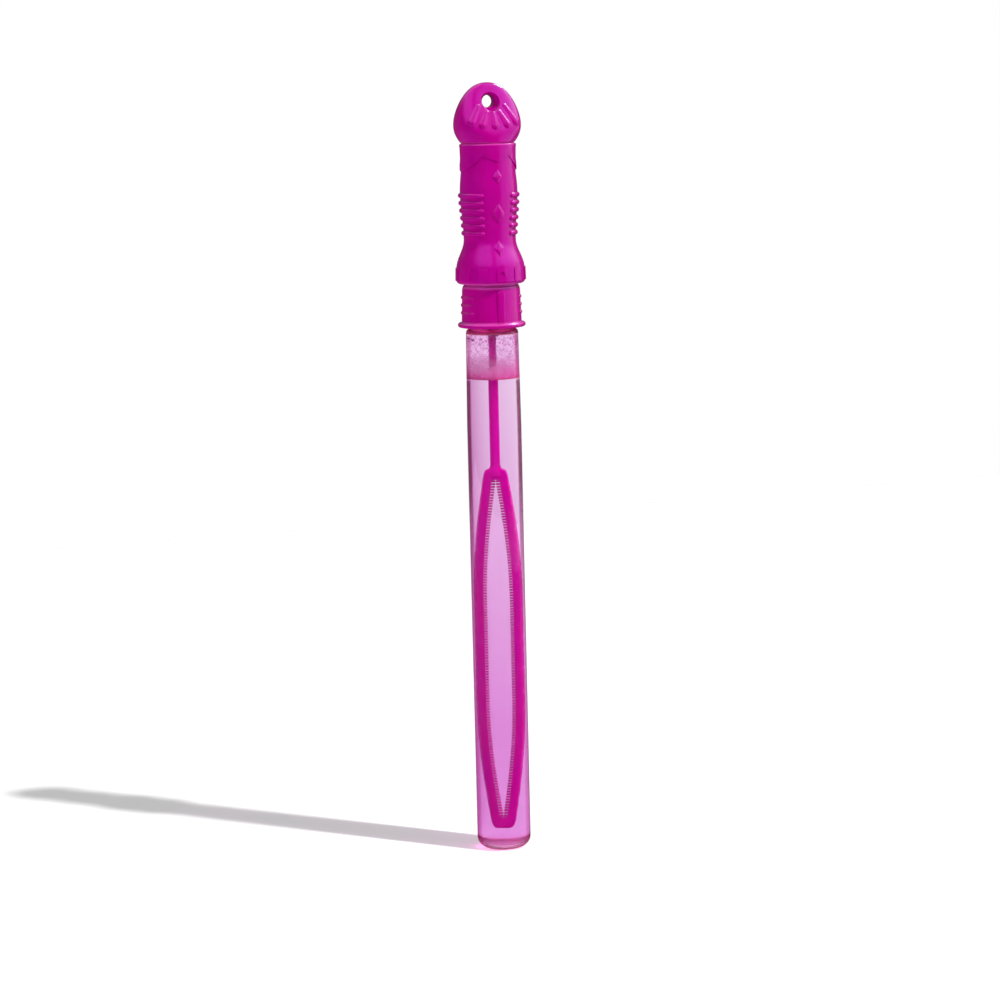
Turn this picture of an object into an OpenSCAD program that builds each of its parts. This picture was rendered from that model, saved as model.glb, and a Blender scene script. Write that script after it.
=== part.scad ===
// Filled bubble wand: a moulded grip on a screw collar that carries a toothed dipping
// loop, standing in a clear tube of bubble solution.
// Origin: centre of the standing ring. +Z runs up through the hang hole, and -Y is the
// side that the hang hole and the diamonds face. Every z_ value is a height above the floor.

/* [Tube] */
// Outer diameter of the tube
tube_d = 26; // [24:0.5:29]
// Height of the tube up to its shoulder
tube_h = 254.4; // [225:1:300]
// Wall thickness of the tube
tube_wall = 1.2; // [0.9:0.1:1.6]
// How much narrower the tube is just under its shoulder
tube_draw = 0.5; // [0:0.1:1]
// Length over which the tube draws in under its shoulder
tube_draw_h = 45; // [30:1:60]
// Radius of the shoulder under the neck
shoulder_r = 2.2; // [1.4:0.1:2.4]
// Radius of the corner at the foot of the tube
foot_r = 5.4; // [4:0.2:5.8]
// Width of the flat standing ring
foot_ring = 1; // [0.8:0.1:1.6]
// Height of the hollow under the foot
push_up = 1.4; // [0.8:0.1:2]
// Outer diameter of the neck, without its thread
neck_d = 21.6; // [20.6:0.2:22.2]
// Height of the neck above the shoulder
neck_h = 14.6; // [12:0.2:20]
// Wall thickness of the neck
neck_wall = 1.1; // [0.9:0.1:1.4]

/* [Solution] */
// Depth of the solution's surface below the shoulder
fill_gap = 24.4; // [18:0.2:40]
// Height of the froth on the solution
froth_h = 19.4; // [6:0.2:20]
// Gap between the solution and the wall that holds it
fill_clear = 0.05; // [0.02:0.01:0.2]
// Gap that the solution leaves round the wand
wand_clear = 0.35; // [0.3:0.05:0.8]

/* [Seal] */
// Thickness of the seal washer
seal_t = 1.6; // [1:0.1:2.4]
// Gap between the tube's rim and the seal
seal_gap = 0.2; // [0.1:0.05:0.4]
// Gap between the seal and the collar round it
seal_clear = 0.25; // [0.15:0.05:0.5]

/* [Collar] */
// Room for the thread between the neck and the collar
thread_room = 1.2; // [1:0.1:1.4]
// Wall thickness of the collar
collar_wall = 1.9; // [1.6:0.1:2.2]
// How much wider the collar is at its flange than at its top rib
collar_flare = 0.4; // [0:0.1:0.8]
// Gap between the tube's shoulder and the flange
collar_gap = 0.7; // [0.4:0.1:1.4]
// How far the flange stands out from the collar
flange_out = 1.9; // [1:0.1:2.6]
// Thickness of the flange
flange_t = 2.2; // [1.6:0.1:3]
// Thickness of the disc that closes the collar
disc_t = 2.4; // [1.6:0.1:3.4]
// How far the collar draws in at its crown
crown_in = 1; // [0.6:0.1:1.4]
// Height over which the crown draws in
crown_h = 3.6; // [2.4:0.2:4.4]
// Length of the spigot that holds the grip
spigot_h = 11; // [7:0.5:16]
// Wall thickness of the spigot
spigot_wall = 1.8; // [1.4:0.1:2.4]
// Radius of a side rib of the collar
cap_rib_r = 0.8; // [0.6:0.05:1]
// How far a side rib of the collar stands out
cap_rib_out = 0.5; // [0.3:0.05:0.55]
// Distance between the side ribs of the collar
cap_rib_pitch = 3.7; // [2.4:0.1:3.9]
// Width of the upright bar at the front and the back of the collar
bar_w = 3.8; // [3:0.1:6]
// How far the upright bar stands out
bar_out = 0.7; // [0.4:0.1:1]

/* [Socket] */
// Outer diameter of the boss that holds the wand
boss_d = 5.6; // [5.2:0.1:7]
// Length of the boss below the disc
boss_h = 20.4; // [16:0.2:20.6]
// Depth of the socket for the stem
socket_h = 15; // [8:0.5:19]
// Gap between the stem and its socket
stem_fit = 0.03; // [0.01:0.01:0.06]

/* [Wand] */
// Diameter of the stem
stem_d = 3.6; // [3:0.1:4]
// Height of the loop
loop_h = 177.1; // [150:0.5:190]
// Thickness of the loop, front to back
loop_t = 4; // [3:0.1:5]
// Width of a limb of the loop
limb_w = 3.2; // [2:0.1:3.6]
// Width of the loop at its two ends
loop_end_w = 8; // [7.4:0.1:11]
// Gap between the loop and the neck's bore as it passes through
loop_pass = 0.55; // [0.45:0.05:1]
// Gap between the loop and the floor of the tube
loop_floor = 7.2; // [3:0.2:14]
// Length of a tooth of the loop
tooth_l = 1.5; // [1:0.1:1.8]
// Distance between the teeth of the loop
tooth_pitch = 1.33; // [1.2:0.01:3]
// Angle between the loop's face and the grip's face
loop_turn = -20; // [-90:1:90]

/* [Grip] */
// Diameter of the skirt at its hem
skirt_d = 33; // [32:0.2:36]
// How much narrower the skirt is at its shoulder
skirt_taper = 0.4; // [0:0.1:1]
// Height of the skirt from its hem up to its shoulder
skirt_h = 7.9; // [6:0.1:12]
// Height over which the skirt runs in to the waist
flare_h = 14; // [10:0.5:20]
// Radius of the hem's edge
hem_r = 2; // [1:0.1:2.4]
// Wall thickness of the skirt
skirt_wall = 2; // [1.6:0.1:2.4]
// Depth of the recess under the skirt
recess_h = 4.7; // [3:0.1:7]
// Diameter of the grip's waist
waist_d = 24.8; // [24.6:0.1:26.5]
// Diameter of the grip's belly
belly_d = 27.4; // [26.6:0.1:30]
// Height of the belly above the waist
belly_h = 22.8; // [21:0.5:30]
// Height of the band's foot above the belly
band_foot_h = 8.8; // [6:0.2:12]
// Height of the band
band_h = 13.4; // [10.4:0.2:16]
// Diameter of the body under the band
core_d = 25.8; // [25:0.1:26.6]
// How far the band stands out
band_out = 0.45; // [0.3:0.05:0.8]
// Height of the groove between the band and the head
groove_h = 0.6; // [0.4:0.1:2]
// Gap between the grip's bore and the spigot
spigot_fit = 0.03; // [0.01:0.01:0.06]
// Wall thickness of the grip at its waist
grip_wall = 1.9; // [1.6:0.1:2.4]

/* [Head] */
// Width of the head
head_w = 31.4; // [29:0.2:36]
// Height of the head above the groove
head_h = 28.2; // [26:0.2:32]
// Thickness of the head at its top edge
head_edge_t = 6.2; // [5:0.2:9]
// Diameter of the hang hole
hang_d = 6; // [5:0.2:7]
// Diameter of the hang hole's flared mouth
hang_mouth_d = 9; // [7.6:0.2:10]
// Length of the hang hole between its flares
hang_l = 4; // [3:0.2:5]
// Distance from the hang hole's axis to the top of the head
hang_drop = 8.9; // [8:0.1:10.5]
// How far a petal stands out
petal_out = 0.7; // [0.4:0.1:1]
// Width of a petal at its round end
petal_w = 3.8; // [2.6:0.1:4.2]

/* [Grip details] */
// Radius of a grip rib
rib_r = 1.2; // [0.9:0.05:1.4]
// How far a grip rib stands out
rib_out = 1; // [0.6:0.05:1.1]
// Distance between the grip ribs
rib_pitch = 3.57; // [3:0.01:3.8]
// Number of grip ribs on each side
rib_count = 6; // [3:1:6]
// Width of a block on the skirt
block_w = 5; // [3:0.1:6]
// Height of the top of a block above its foot
block_h = 6.9; // [4:0.1:8]
// How far a block stands out from the skirt
block_out = 0.4; // [0.2:0.05:0.6]
// Number of blocks round the skirt
block_count = 11; // [6:1:12]
// Diameter of the dimple in the front block
dimple_d = 2.6; // [1.6:0.1:3.4]
// How far a diamond stands out
diamond_out = 0.6; // [0.3:0.1:0.9]
// Width of the middle diamond
diamond_w = 6.5; // [4:0.1:7]
// Height of the middle diamond
diamond_h = 9.7; // [6:0.1:10]

/* [Hidden] */
$fn = 64;

// Overrun of a cut past the face that it opens
cut = 1;
// Steps in a quarter of a round edge, and in a long curve
edge_steps = 6;
curve_steps = 14;

// Tube, from the floor up
tube_r = tube_d / 2;
foot_in_r = tube_r - foot_r - foot_ring;
z_floor = push_up + tube_wall;
z_shoulder = tube_h;
neck_r = neck_d / 2;
neck_bore_r = neck_r - neck_wall;
shoulder_out_r = tube_r - tube_draw;
shoulder_ledge_r = shoulder_out_r - shoulder_r;
z_draw = z_shoulder - shoulder_r - tube_draw_h;
z_rim = z_shoulder + neck_h;
rim_edge = neck_wall / 3;

// Solution and froth
bore_r = tube_r - tube_wall;
z_surface = z_shoulder - fill_gap;
z_froth = z_surface + froth_h;

// Seal and collar
z_seal = z_rim + seal_gap;
z_disc = z_seal + seal_t;
z_disc_top = z_disc + disc_t;
collar_bore_r = neck_r + thread_room;
collar_r = collar_bore_r + collar_wall;
z_collar = z_shoulder + collar_gap;
z_flange = z_collar + flange_t;
crown_r = collar_r - crown_in;
boss_r = boss_d / 2;
z_boss = z_disc - boss_h;

// Wand, hung from the boss
stem_r = stem_d / 2;
stem_bore_r = stem_r + stem_fit;
z_loop = z_floor + loop_floor;
z_loop_top = z_loop + loop_h;
loop_w = 2 * sqrt(pow(neck_bore_r - loop_pass, 2) - pow(loop_t / 2, 2));

// Grip: the recess of the skirt takes the collar's crown
z_hem = z_disc_top + crown_h / 2;
z_ceiling = z_hem + recess_h;
grip_bore_r = waist_d / 2 - grip_wall;
spigot_r = grip_bore_r - spigot_fit;
z_skirt = z_hem + skirt_h;
z_waist = z_skirt + flare_h;
z_belly = z_waist + belly_h;
z_band = z_belly + band_foot_h;
z_groove = z_band + band_h;
z_head = z_groove + groove_h;
z_top = z_head + head_h;
z_hang = z_top - hang_drop;
z_core = z_band + band_h / 4;
z_cavity_top = z_band + band_h / 2;
hem_out_r = skirt_d / 2;
skirt_top_r = hem_out_r - skirt_taper / 2;
core_r = core_d / 2;
hang_r = hang_d / 2;
hang_mouth_r = hang_mouth_d / 2;

// Middle rib of the grip, and the gap from the front in which there are no ribs
z_rib_mid = z_waist + belly_h / 2;
rib_free_angle = 34;
cap_rib_free_angle = 57;
// Thickness and length of a rib's stepped end, as a share of the rib's section
rib_tip_share = 0.7;

// Places on the head, as shares of its width and of its height: [across, up] of a
// petal's narrow end and of its round end
petal_shares = [
    [[0, 0.5], [0, 0.296]],
    [[0.105, 0.5], [0.204, 0.312]],
    [[0.207, 0.6], [0.35, 0.345]]
];
// Narrow end of a petal, as a share of its round end
petal_taper_share = 0.55;
// Height on the head of its greatest width, as a share of the head's height
head_widest_share = 0.337;
// Height on the head where its top edge starts to round, as a share
head_round_share = 0.9;

// Diamonds, from the top: [height above the waist as a share of the belly's height,
// share of the middle diamond's size]
diamond_shares = [[1.27, 0.72], [0.583, 1], [-0.175, 0.81]];
// Shares of a diamond's size at its buried foot and at its flat top
diamond_foot_share = 0.68;
diamond_top_share = 0.55;

// Band's zigzag foot: where its peaks are across the grip, and how far up the band its
// peaks and its middle point reach
band_peak_across_share = 0.45;
band_peak_up_share = 0.52;
band_middle_up_share = 0.36;

// Powers that shape the head's outline
head_low_power = 3;
head_high_power = 2.1;
head_high_root = 0.45;
head_edge_power = 1.15;

// Share of the loop's height over which each end widens to the full width
loop_reach_share = 0.36;

// Tip of a tooth, as a share of the pitch, and the free space in the loop's window, as
// shares of its width and of the loop's height
tooth_tip_share = 0.42;
window_w_share = 0.68;
window_h_share = 0.62;
window_w = (loop_w - 2 * limb_w - 2 * tooth_l) * window_w_share;

// Points on an arc about [x, y]
function arc(x, y, r, from, to, steps) =
    [for (i = [0:steps]) let (a = from + (to - from) * i / steps) [x + r * cos(a), y + r * sin(a)]];

// Smooth change from 0 to 1
function ease(t) = (1 - cos(180 * min(1, max(0, t)))) / 2;

// Value that changes smoothly from one end of a height range to the other
function blend(a, b, z0, z1, z) = a + (b - a) * ease((z - z0) / (z1 - z0));

// Radius of the grip's body at height z, between the hem and the head
function body_r(z) =
    z < z_skirt ? hem_out_r + (skirt_top_r - hem_out_r) * (z - z_hem) / skirt_h
    : z < z_waist ? blend(skirt_top_r, waist_d / 2, z_skirt, z_waist, z)
    : z < z_belly ? blend(waist_d / 2, belly_d / 2, z_waist, z_belly, z)
    : blend(belly_d / 2, core_r, z_belly, z_core, z);

// Radius of the tube's bore at height z
function bore_at(z) = bore_r - tube_draw * max(0, z - z_draw) / tube_draw_h;

// Half width of the loop at a share of its height, from its lower end
function loop_half(s) = loop_end_w / 2
    + (loop_w - loop_end_w) / 2 * sin(90 * min(1, min(s, 1 - s) / loop_reach_share));

// Revolved solid from a half profile
module turned(points) {
    rotate_extrude() polygon(points);
}

// Flat outline in X and Z, made a slab from y0 to y1
module upright(y0, y1) {
    translate([0, y1, 0]) rotate([90, 0, 0]) linear_extrude(y1 - y0) children();
}

// Rib round part of a side, with stepped ends, at both sides
module side_ribs(r, z, section_r, free_angle) {
    for (side = [0, 180], step = [0, 1]) rotate([0, 0, side]) translate([0, 0, z]) {
        half = 90 - free_angle + step * atan(section_r * rib_tip_share / r);
        rotate([0, 0, -half]) rotate_extrude(angle = 2 * half)
            translate([r, 0]) circle(r = step > 0 ? section_r * rib_tip_share : section_r, $fn = 24);
    }
}

// Clear tube with a hollow foot, a shoulder and a plain neck
module tube() {
    foot_x = tube_r - foot_r;
    inner_foot_r = max(foot_r - tube_wall, foot_r / 2);
    outside = concat(
        [[0, push_up], [foot_in_r / 2, push_up], [foot_in_r, 0]],
        arc(foot_x, foot_r, foot_r, -90, 0, edge_steps),
        [[tube_r, z_draw]],
        arc(shoulder_out_r - shoulder_r, z_shoulder - shoulder_r, shoulder_r, 0, 90, edge_steps),
        [[neck_r, z_shoulder], [neck_r, z_rim - rim_edge], [neck_r - rim_edge, z_rim]]
    );
    inside = concat(
        [[neck_bore_r, z_rim], [neck_bore_r, z_shoulder - tube_wall]],
        [[shoulder_out_r - tube_wall, z_shoulder - shoulder_r - tube_wall]],
        [[bore_r, z_draw]],
        arc(bore_r - inner_foot_r, z_floor + inner_foot_r, inner_foot_r, 0, -90, edge_steps),
        [[0, z_floor]]
    );
    color([0.93, 0.72, 0.88, 0.45]) turned(concat(outside, inside));
}

// Outline of the loop, filled, grown by a margin
module loop_outline(grow) {
    steps = 40;
    half = loop_end_w / 2;
    right = [for (i = [1:steps - 1]) let (s = i / steps) [loop_half(s) + grow, z_loop + loop_h * s]];
    left = [for (i = [1:steps - 1]) let (s = 1 - i / steps) [-loop_half(s) - grow, z_loop + loop_h * s]];
    corner = loop_end_w / 4;
    polygon(concat(
        arc(half - corner, z_loop + corner, corner + grow, -90, 0, edge_steps),
        right,
        arc(half - corner, z_loop_top - corner, corner + grow, 0, 90, edge_steps),
        arc(corner - half, z_loop_top - corner, corner + grow, 90, 180, edge_steps),
        left,
        arc(corner - half, z_loop + corner, corner + grow, 180, 270, edge_steps)
    ));
}

// Window of the loop, with a tooth at every pitch along both limbs
module loop_window() {
    count = floor((loop_h - 3 * limb_w) / tooth_pitch);
    first = z_loop + (loop_h - count * tooth_pitch) / 2;
    tip = tooth_pitch * tooth_tip_share;
    function inner(z) = loop_half((z - z_loop) / loop_h) - limb_w;
    function reach(z) = max(inner(z) - tooth_l, limb_w / 6);
    right = [for (i = [0:count - 1]) let (z = first + i * tooth_pitch) each [
        [inner(z), z], [reach(z), z + tooth_pitch / 2 - tip / 2],
        [reach(z), z + tooth_pitch / 2 + tip / 2], [inner(z), z + tooth_pitch]]];
    left = [for (i = [len(right) - 1:-1:0]) [-right[i][0], right[i][1]]];
    polygon(concat(right, left));
}

// Stem and toothed loop, moulded in one
module wand() {
    color([0.72, 0, 0.58]) rotate([0, 0, loop_turn]) union() {
        upright(-loop_t / 2, loop_t / 2) difference() {
            loop_outline(0);
            loop_window();
        }
        translate([0, 0, z_loop_top - limb_w])
            cylinder(r = stem_r, h = z_boss + socket_h - z_loop_top + limb_w);
    }
}

// Solution up to its surface, with the space that the wand fills left free
module bubble_solution() {
    fill_r = bore_r - fill_clear;
    inner_foot_r = max(foot_r - tube_wall, foot_r / 2);
    z_low = z_floor + fill_clear;
    color([0.92, 0.66, 0.87, 0.5]) difference() {
        turned(concat(
            [[0, z_low]],
            arc(fill_r - inner_foot_r, z_low + inner_foot_r, inner_foot_r, -90, 0, edge_steps),
            [[fill_r, z_draw], [bore_at(z_surface) - fill_clear, z_surface], [0, z_surface]]
        ));
        rotate([0, 0, loop_turn])
            upright(-loop_t / 2 - wand_clear, loop_t / 2 + wand_clear) loop_outline(wand_clear);
        translate([0, 0, z_loop_top - limb_w])
            cylinder(r = stem_r + wand_clear, h = z_surface - z_loop_top + limb_w + cut);
        translate([0, 0, z_loop + loop_h / 2])
            cube([window_w, window_w, loop_h * window_h_share], center = true);
    }
}

// Froth that floats on the solution, round the stem
module froth() {
    color([0.87, 0.66, 0.84, 0.9]) difference() {
        translate([0, 0, z_surface])
            cylinder(r1 = bore_at(z_surface) - fill_clear, r2 = bore_at(z_froth) - fill_clear, h = froth_h);
        translate([0, 0, z_surface - cut]) cylinder(r = stem_r + wand_clear, h = froth_h + 2 * cut);
    }
}

// Soft washer between the tube's rim and the disc of the collar
module seal_washer() {
    color([0.95, 0.93, 0.94]) difference() {
        translate([0, 0, z_seal]) cylinder(r = collar_bore_r - seal_clear, h = seal_t);
        translate([0, 0, z_seal - cut]) cylinder(r = boss_r + seal_clear, h = seal_t + 2 * cut);
    }
}

// Half outline of the collar's outside, from the flange to the top of the spigot
function collar_outside() = let (
    half_t = flange_t / 2,
    flange_x = collar_r + collar_flare + flange_out - half_t
) concat(
    arc(flange_x, z_collar + half_t, half_t, -90, 90, 2 * edge_steps),
    [[collar_r + collar_flare, z_flange], [collar_r, z_disc_top - crown_h / 2]],
    [for (i = [1:edge_steps]) let (t = i / edge_steps)
        [collar_r - crown_in * (1 - cos(90 * t)), z_disc_top - crown_h / 2 + crown_h * sin(90 * t)]],
    [[crown_r, z_ceiling], [spigot_r, z_ceiling], [spigot_r, z_ceiling + spigot_h]]
);

// Screw collar: flange, ribs and bars outside, thread room and wand socket inside
module screw_collar() {
    inside = [
        [spigot_r - spigot_wall, z_ceiling + spigot_h], [spigot_r - spigot_wall, z_disc_top],
        [0, z_disc_top], [0, z_boss], [boss_r, z_boss], [boss_r, z_disc],
        [collar_bore_r, z_disc], [collar_bore_r, z_collar]
    ];
    z_mid_rib = (z_flange + z_disc_top) / 2;
    bar_h = z_disc_top - z_flange;
    color([0.68, 0, 0.54]) difference() {
        union() {
            turned(concat(collar_outside(), inside));
            for (i = [-1:1]) side_ribs(
                collar_r + collar_flare / 2 - collar_flare / 4 * i - cap_rib_r + cap_rib_out,
                z_mid_rib + cap_rib_pitch * i, cap_rib_r, cap_rib_free_angle);
            for (side = [0, 180]) rotate([0, 0, side])
                upright(-collar_r - bar_out, -collar_bore_r - collar_wall / 2) {
                    translate([-bar_w / 2, z_flange - flange_t / 4])
                        square([bar_w, bar_h - bar_w / 2 + flange_t / 4]);
                    translate([0, z_flange + bar_h - bar_w / 2]) circle(d = bar_w);
                }
        }
        translate([0, 0, z_boss - cut]) cylinder(r = stem_bore_r, h = socket_h + cut);
    }
}

// Half width and half thickness of the head at a share of its height
function head_half_w(s) = s < head_widest_share
    ? head_w / 2 - (head_w / 2 - core_r) * pow((head_widest_share - s) / head_widest_share, head_low_power)
    : head_w / 2
        * pow(1 - pow((s - head_widest_share) / (1 - head_widest_share), head_high_power), head_high_root);
function head_half_t(s) = (core_r - (core_r - head_edge_t / 2) * ease(pow(s, head_edge_power)))
    * (s < head_round_share ? 1 : sqrt(1 - pow((s - head_round_share) / (1 - head_round_share), 2)));

// Exponent of the head's section: round at the groove, squarer above
function head_power(s) = 2 + ease(s / head_widest_share);

// Distance from the head's middle plane to its face, at x and a share of its height
function head_face(x, s) = head_half_t(s)
    * pow(1 - pow(abs(x) / head_half_w(s), head_power(s)), 1 / head_power(s));

// Point on a flattened ring with half sizes a and b, at the given angle
function ring_point(a, b, n, angle) = [
    a * sign(cos(angle)) * pow(abs(cos(angle)), 2 / n),
    b * sign(sin(angle)) * pow(abs(sin(angle)), 2 / n)
];

// Head lofted through flattened rings, from a root inside the groove
module head_loft() {
    rings = 20;
    sides = 48;
    root_r = core_r - groove_h / 2;
    top_share = 0.9995;
    shares = [for (i = [0:rings]) i < rings ? sin(90 * i / rings) : top_share];
    points = concat(
        [for (j = [0:sides - 1])
            [root_r * cos(360 * j / sides), root_r * sin(360 * j / sides), z_groove]],
        [for (s = shares) for (j = [0:sides - 1])
            let (p = ring_point(head_half_w(s), head_half_t(s), head_power(s), 360 * j / sides))
                [p[0], p[1], z_head + head_h * s]]
    );
    sheet = [for (i = [0:rings]) for (j = [0:sides - 1]) let (k = (j + 1) % sides) each [
        [i * sides + j, (i + 1) * sides + j, i * sides + k],
        [i * sides + k, (i + 1) * sides + j, (i + 1) * sides + k]]];
    caps = [[for (j = [0:sides - 1]) j], [for (j = [sides - 1:-1:0]) (rings + 1) * sides + j]];
    polyhedron(points, concat(sheet, caps));
}

// Drop with a ball of radius r0 at p0 and a ball of radius r1 at p1
module drop(p0, r0, p1, r1) {
    d = p1 - p0;
    l = norm(d);
    lean = asin((r0 - r1) / l);
    translate(p0) rotate([0, acos(d[2] / l), atan2(d[1], d[0])])
        turned(concat(arc(0, 0, r0, -90, lean, 2 * edge_steps), arc(0, l, r1, lean, 90, 2 * edge_steps)));
}

// Petals under the hang hole: drops sunk into one face of the head
module petals() {
    // A ball that stands out by petal_out and shows a circle as wide as the petal
    ball_r = (pow(petal_w / 2, 2) + pow(petal_out, 2)) / (2 * petal_out);
    tip_r = ball_r * petal_taper_share;
    for (side = [-1, 1], p = petal_shares) if (side > 0 || p[0][0] > 0) {
        tip = [side * p[0][0] * head_w, p[0][1]];
        end = [side * p[1][0] * head_w, p[1][1]];
        drop(
            [end[0], ball_r - petal_out - head_face(end[0], end[1]), z_head + end[1] * head_h], ball_r,
            [tip[0], tip_r - petal_out * petal_taper_share - head_face(tip[0], tip[1]),
                z_head + tip[1] * head_h],
            tip_r);
    }
}

// Head with its petals and flared hang hole
module head() {
    flare_y = hang_l / 2 + hang_mouth_r - hang_r + hang_l / 4;
    difference() {
        union() {
            head_loft();
            for (side = [0, 180]) rotate([0, 0, side]) petals();
        }
        translate([0, 0, z_hang]) rotate([90, 0, 0]) turned([
            [0, -core_r], [hang_mouth_r, -core_r], [hang_mouth_r, -flare_y], [hang_r, -hang_l / 2],
            [hang_r, hang_l / 2], [hang_mouth_r, flare_y], [hang_mouth_r, core_r], [0, core_r]]);
    }
}

// Band round the grip, with a zigzag foot
module band() {
    edge = 2 * band_out;
    low = -core_r - 2 * band_out;
    peak = low * band_peak_across_share;
    intersection() {
        turned([[core_r - band_out, z_band - band_h / 4], [core_r + band_out, z_band - band_h / 4],
            [core_r + band_out, z_band + band_h / 4], [core_r + band_out / 2, z_band + band_h / 2],
            [core_r + band_out, z_groove - edge], [core_r, z_groove], [core_r - band_out, z_groove]]);
        upright(low, -low) polygon([
            [low, z_groove + cut], [low, z_band], [peak, z_band + band_h * band_peak_up_share],
            [0, z_band + band_h * band_middle_up_share], [-peak, z_band + band_h * band_peak_up_share],
            [-low, z_band], [-low, z_groove + cut]]);
    }
}

// Raised diamonds on the front and the back of the grip
module diamonds() {
    for (side = [0, 180], d = diamond_shares) {
        z = z_waist + d[0] * belly_h;
        w = diamond_w * d[1] * diamond_foot_share;
        h = diamond_h * d[1] * diamond_foot_share;
        rotate([0, 0, side]) translate([0, 2 * diamond_out - body_r(z), z]) rotate([90, 0, 0])
            linear_extrude(3 * diamond_out, scale = diamond_top_share)
                polygon([[-w, 0], [0, -h], [w, 0], [0, h]]);
    }
}

// Blocks round the skirt, with a dimple in the front one
module blocks() {
    z_foot = z_hem + hem_r;
    corner = block_w / 6;
    difference() {
        intersection() {
            turned([[0, z_foot], [hem_out_r + block_out, z_foot],
                [skirt_top_r + block_out, z_foot + block_h], [0, z_foot + block_h]]);
            for (i = [0:block_count - 1]) rotate([0, 0, i * 360 / block_count])
                upright(-hem_out_r - cut, skirt_wall / 2 - hem_out_r) {
                    translate([-block_w / 2, z_foot - cut]) square([block_w, block_h + cut - corner]);
                    translate([corner - block_w / 2, z_foot - cut])
                        square([block_w - 2 * corner, block_h + cut]);
                    for (x = [corner - block_w / 2, block_w / 2 - corner])
                        translate([x, z_foot + block_h - corner]) circle(r = corner, $fn = 24);
                }
        }
        translate([0, -hem_out_r - block_out, z_foot + block_h / 2]) sphere(d = dimple_d, $fn = 32);
    }
}

// Bell skirt and ribbed body under the head, with the bore for the spigot
module grip_body() {
    z_low = z_hem + hem_r;
    z_root = (z_groove + z_head) / 2;
    recess_r = hem_out_r - skirt_wall;
    outside = concat(
        [[0, z_hem], [hem_out_r - hem_r, z_hem]],
        arc(hem_out_r - hem_r, z_low, hem_r, -90, 0, edge_steps),
        [for (i = [0:curve_steps]) let (z = z_skirt + flare_h * i / curve_steps) [body_r(z), z]],
        [for (i = [1:curve_steps]) let (z = z_waist + belly_h * i / curve_steps) [body_r(z), z]],
        [for (i = [1:edge_steps]) let (z = z_belly + (z_core - z_belly) * i / edge_steps) [body_r(z), z]],
        [[core_r, z_root], [0, z_root]]
    );
    difference() {
        union() {
            turned(outside);
            band();
            blocks();
            diamonds();
            for (i = [0:rib_count - 1]) let (z = z_rib_mid + (i - (rib_count - 1) / 2) * rib_pitch)
                side_ribs(body_r(z) - rib_r + rib_out, z, rib_r, rib_free_angle);
        }
        turned([[0, z_hem - cut], [recess_r, z_hem - cut], [recess_r, z_hem + hem_r],
            [recess_r - skirt_wall / 2, z_ceiling], [0, z_ceiling]]);
        turned([[0, z_ceiling - cut], [grip_bore_r, z_ceiling - cut],
            [grip_bore_r, z_cavity_top - grip_bore_r / 2], [grip_bore_r / 2, z_cavity_top],
            [0, z_cavity_top]]);
    }
}

// Hollow grip with a flat head
module grip() {
    color([0.74, 0, 0.6]) union() {
        grip_body();
        head();
    }
}

tube();
bubble_solution();
froth();
seal_washer();
screw_collar();
wand();
grip();
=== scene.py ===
"""Looks of the bubble wand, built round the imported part, in metres.

The tube stands at the origin, +Z runs up its axis, and the front of the grip faces -Y.
Sizes in the classes are millimetres, as a maker would give them.
"""

import logging
import math
import random
from dataclasses import dataclass
from enum import Enum
from typing import Sequence

import bmesh
import bpy
from mathutils import Matrix, Vector

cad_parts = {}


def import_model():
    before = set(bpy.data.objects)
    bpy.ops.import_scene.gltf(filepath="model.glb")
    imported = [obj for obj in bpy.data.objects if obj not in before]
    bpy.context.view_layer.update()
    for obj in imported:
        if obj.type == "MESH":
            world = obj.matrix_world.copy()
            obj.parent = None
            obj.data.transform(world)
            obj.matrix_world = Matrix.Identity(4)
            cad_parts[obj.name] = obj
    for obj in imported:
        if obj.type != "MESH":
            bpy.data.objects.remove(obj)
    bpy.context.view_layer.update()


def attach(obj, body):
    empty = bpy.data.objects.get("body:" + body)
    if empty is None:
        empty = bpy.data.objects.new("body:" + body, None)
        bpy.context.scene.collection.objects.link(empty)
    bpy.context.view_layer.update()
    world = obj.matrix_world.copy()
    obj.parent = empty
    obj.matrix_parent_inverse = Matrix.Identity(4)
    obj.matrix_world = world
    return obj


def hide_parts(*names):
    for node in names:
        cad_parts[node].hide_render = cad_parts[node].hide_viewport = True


MM = 0.001
# Seen through the clear parts, the surroundings to the right turn pinker. This is painted shade on the left
# half of the solution.
PAINTED_SHADE_SPAN = (0.08, 0.6)  # How far to the right, as a share, the surroundings turn pinker.
Flat = tuple[float, float]
Colour = tuple[float, float, float]
Place = tuple[float, float, float]
Ring = list[Vector]
Piece = bpy.types.Object
Material = bpy.types.Material
Socket = bpy.types.NodeSocket

log = logging.getLogger("bubble_wand")


class Body(str, Enum):
    """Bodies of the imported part."""

    TUBE = "tube"
    FILLING = "filling"
    SEAL = "seal"
    CLOSURE = "closure"


class Slot(str, Enum):
    """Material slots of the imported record."""

    TUBE = "clear_tube"
    SOLUTION = "solution"
    FROTH = "froth"
    SEAL = "seal"
    COLLAR = "collar_plastic"
    WAND = "wand_plastic"
    GRIP = "grip_plastic"


class Cut(str, Enum):
    """What one solid does to another."""

    ADD = "UNION"
    TAKE = "DIFFERENCE"
    KEEP = "INTERSECT"


# ---------------------------------------------------------------- shapes in numbers


def arc(x: float, z: float, r: float, start: float, end: float, steps: int) -> list[Flat]:
    """Points on an arc.

    Args:
        x: Middle of the arc, across.
        z: Middle of the arc, up.
        r: Radius.
        start: First angle in degrees.
        end: Last angle in degrees.
        steps: Number of steps from the first angle to the last.

    Returns:
        The points, in order.
    """
    angles = [math.radians(start + (end - start) * i / steps) for i in range(steps + 1)]
    return [(x + r * math.cos(a), z + r * math.sin(a)) for a in angles]


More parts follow.
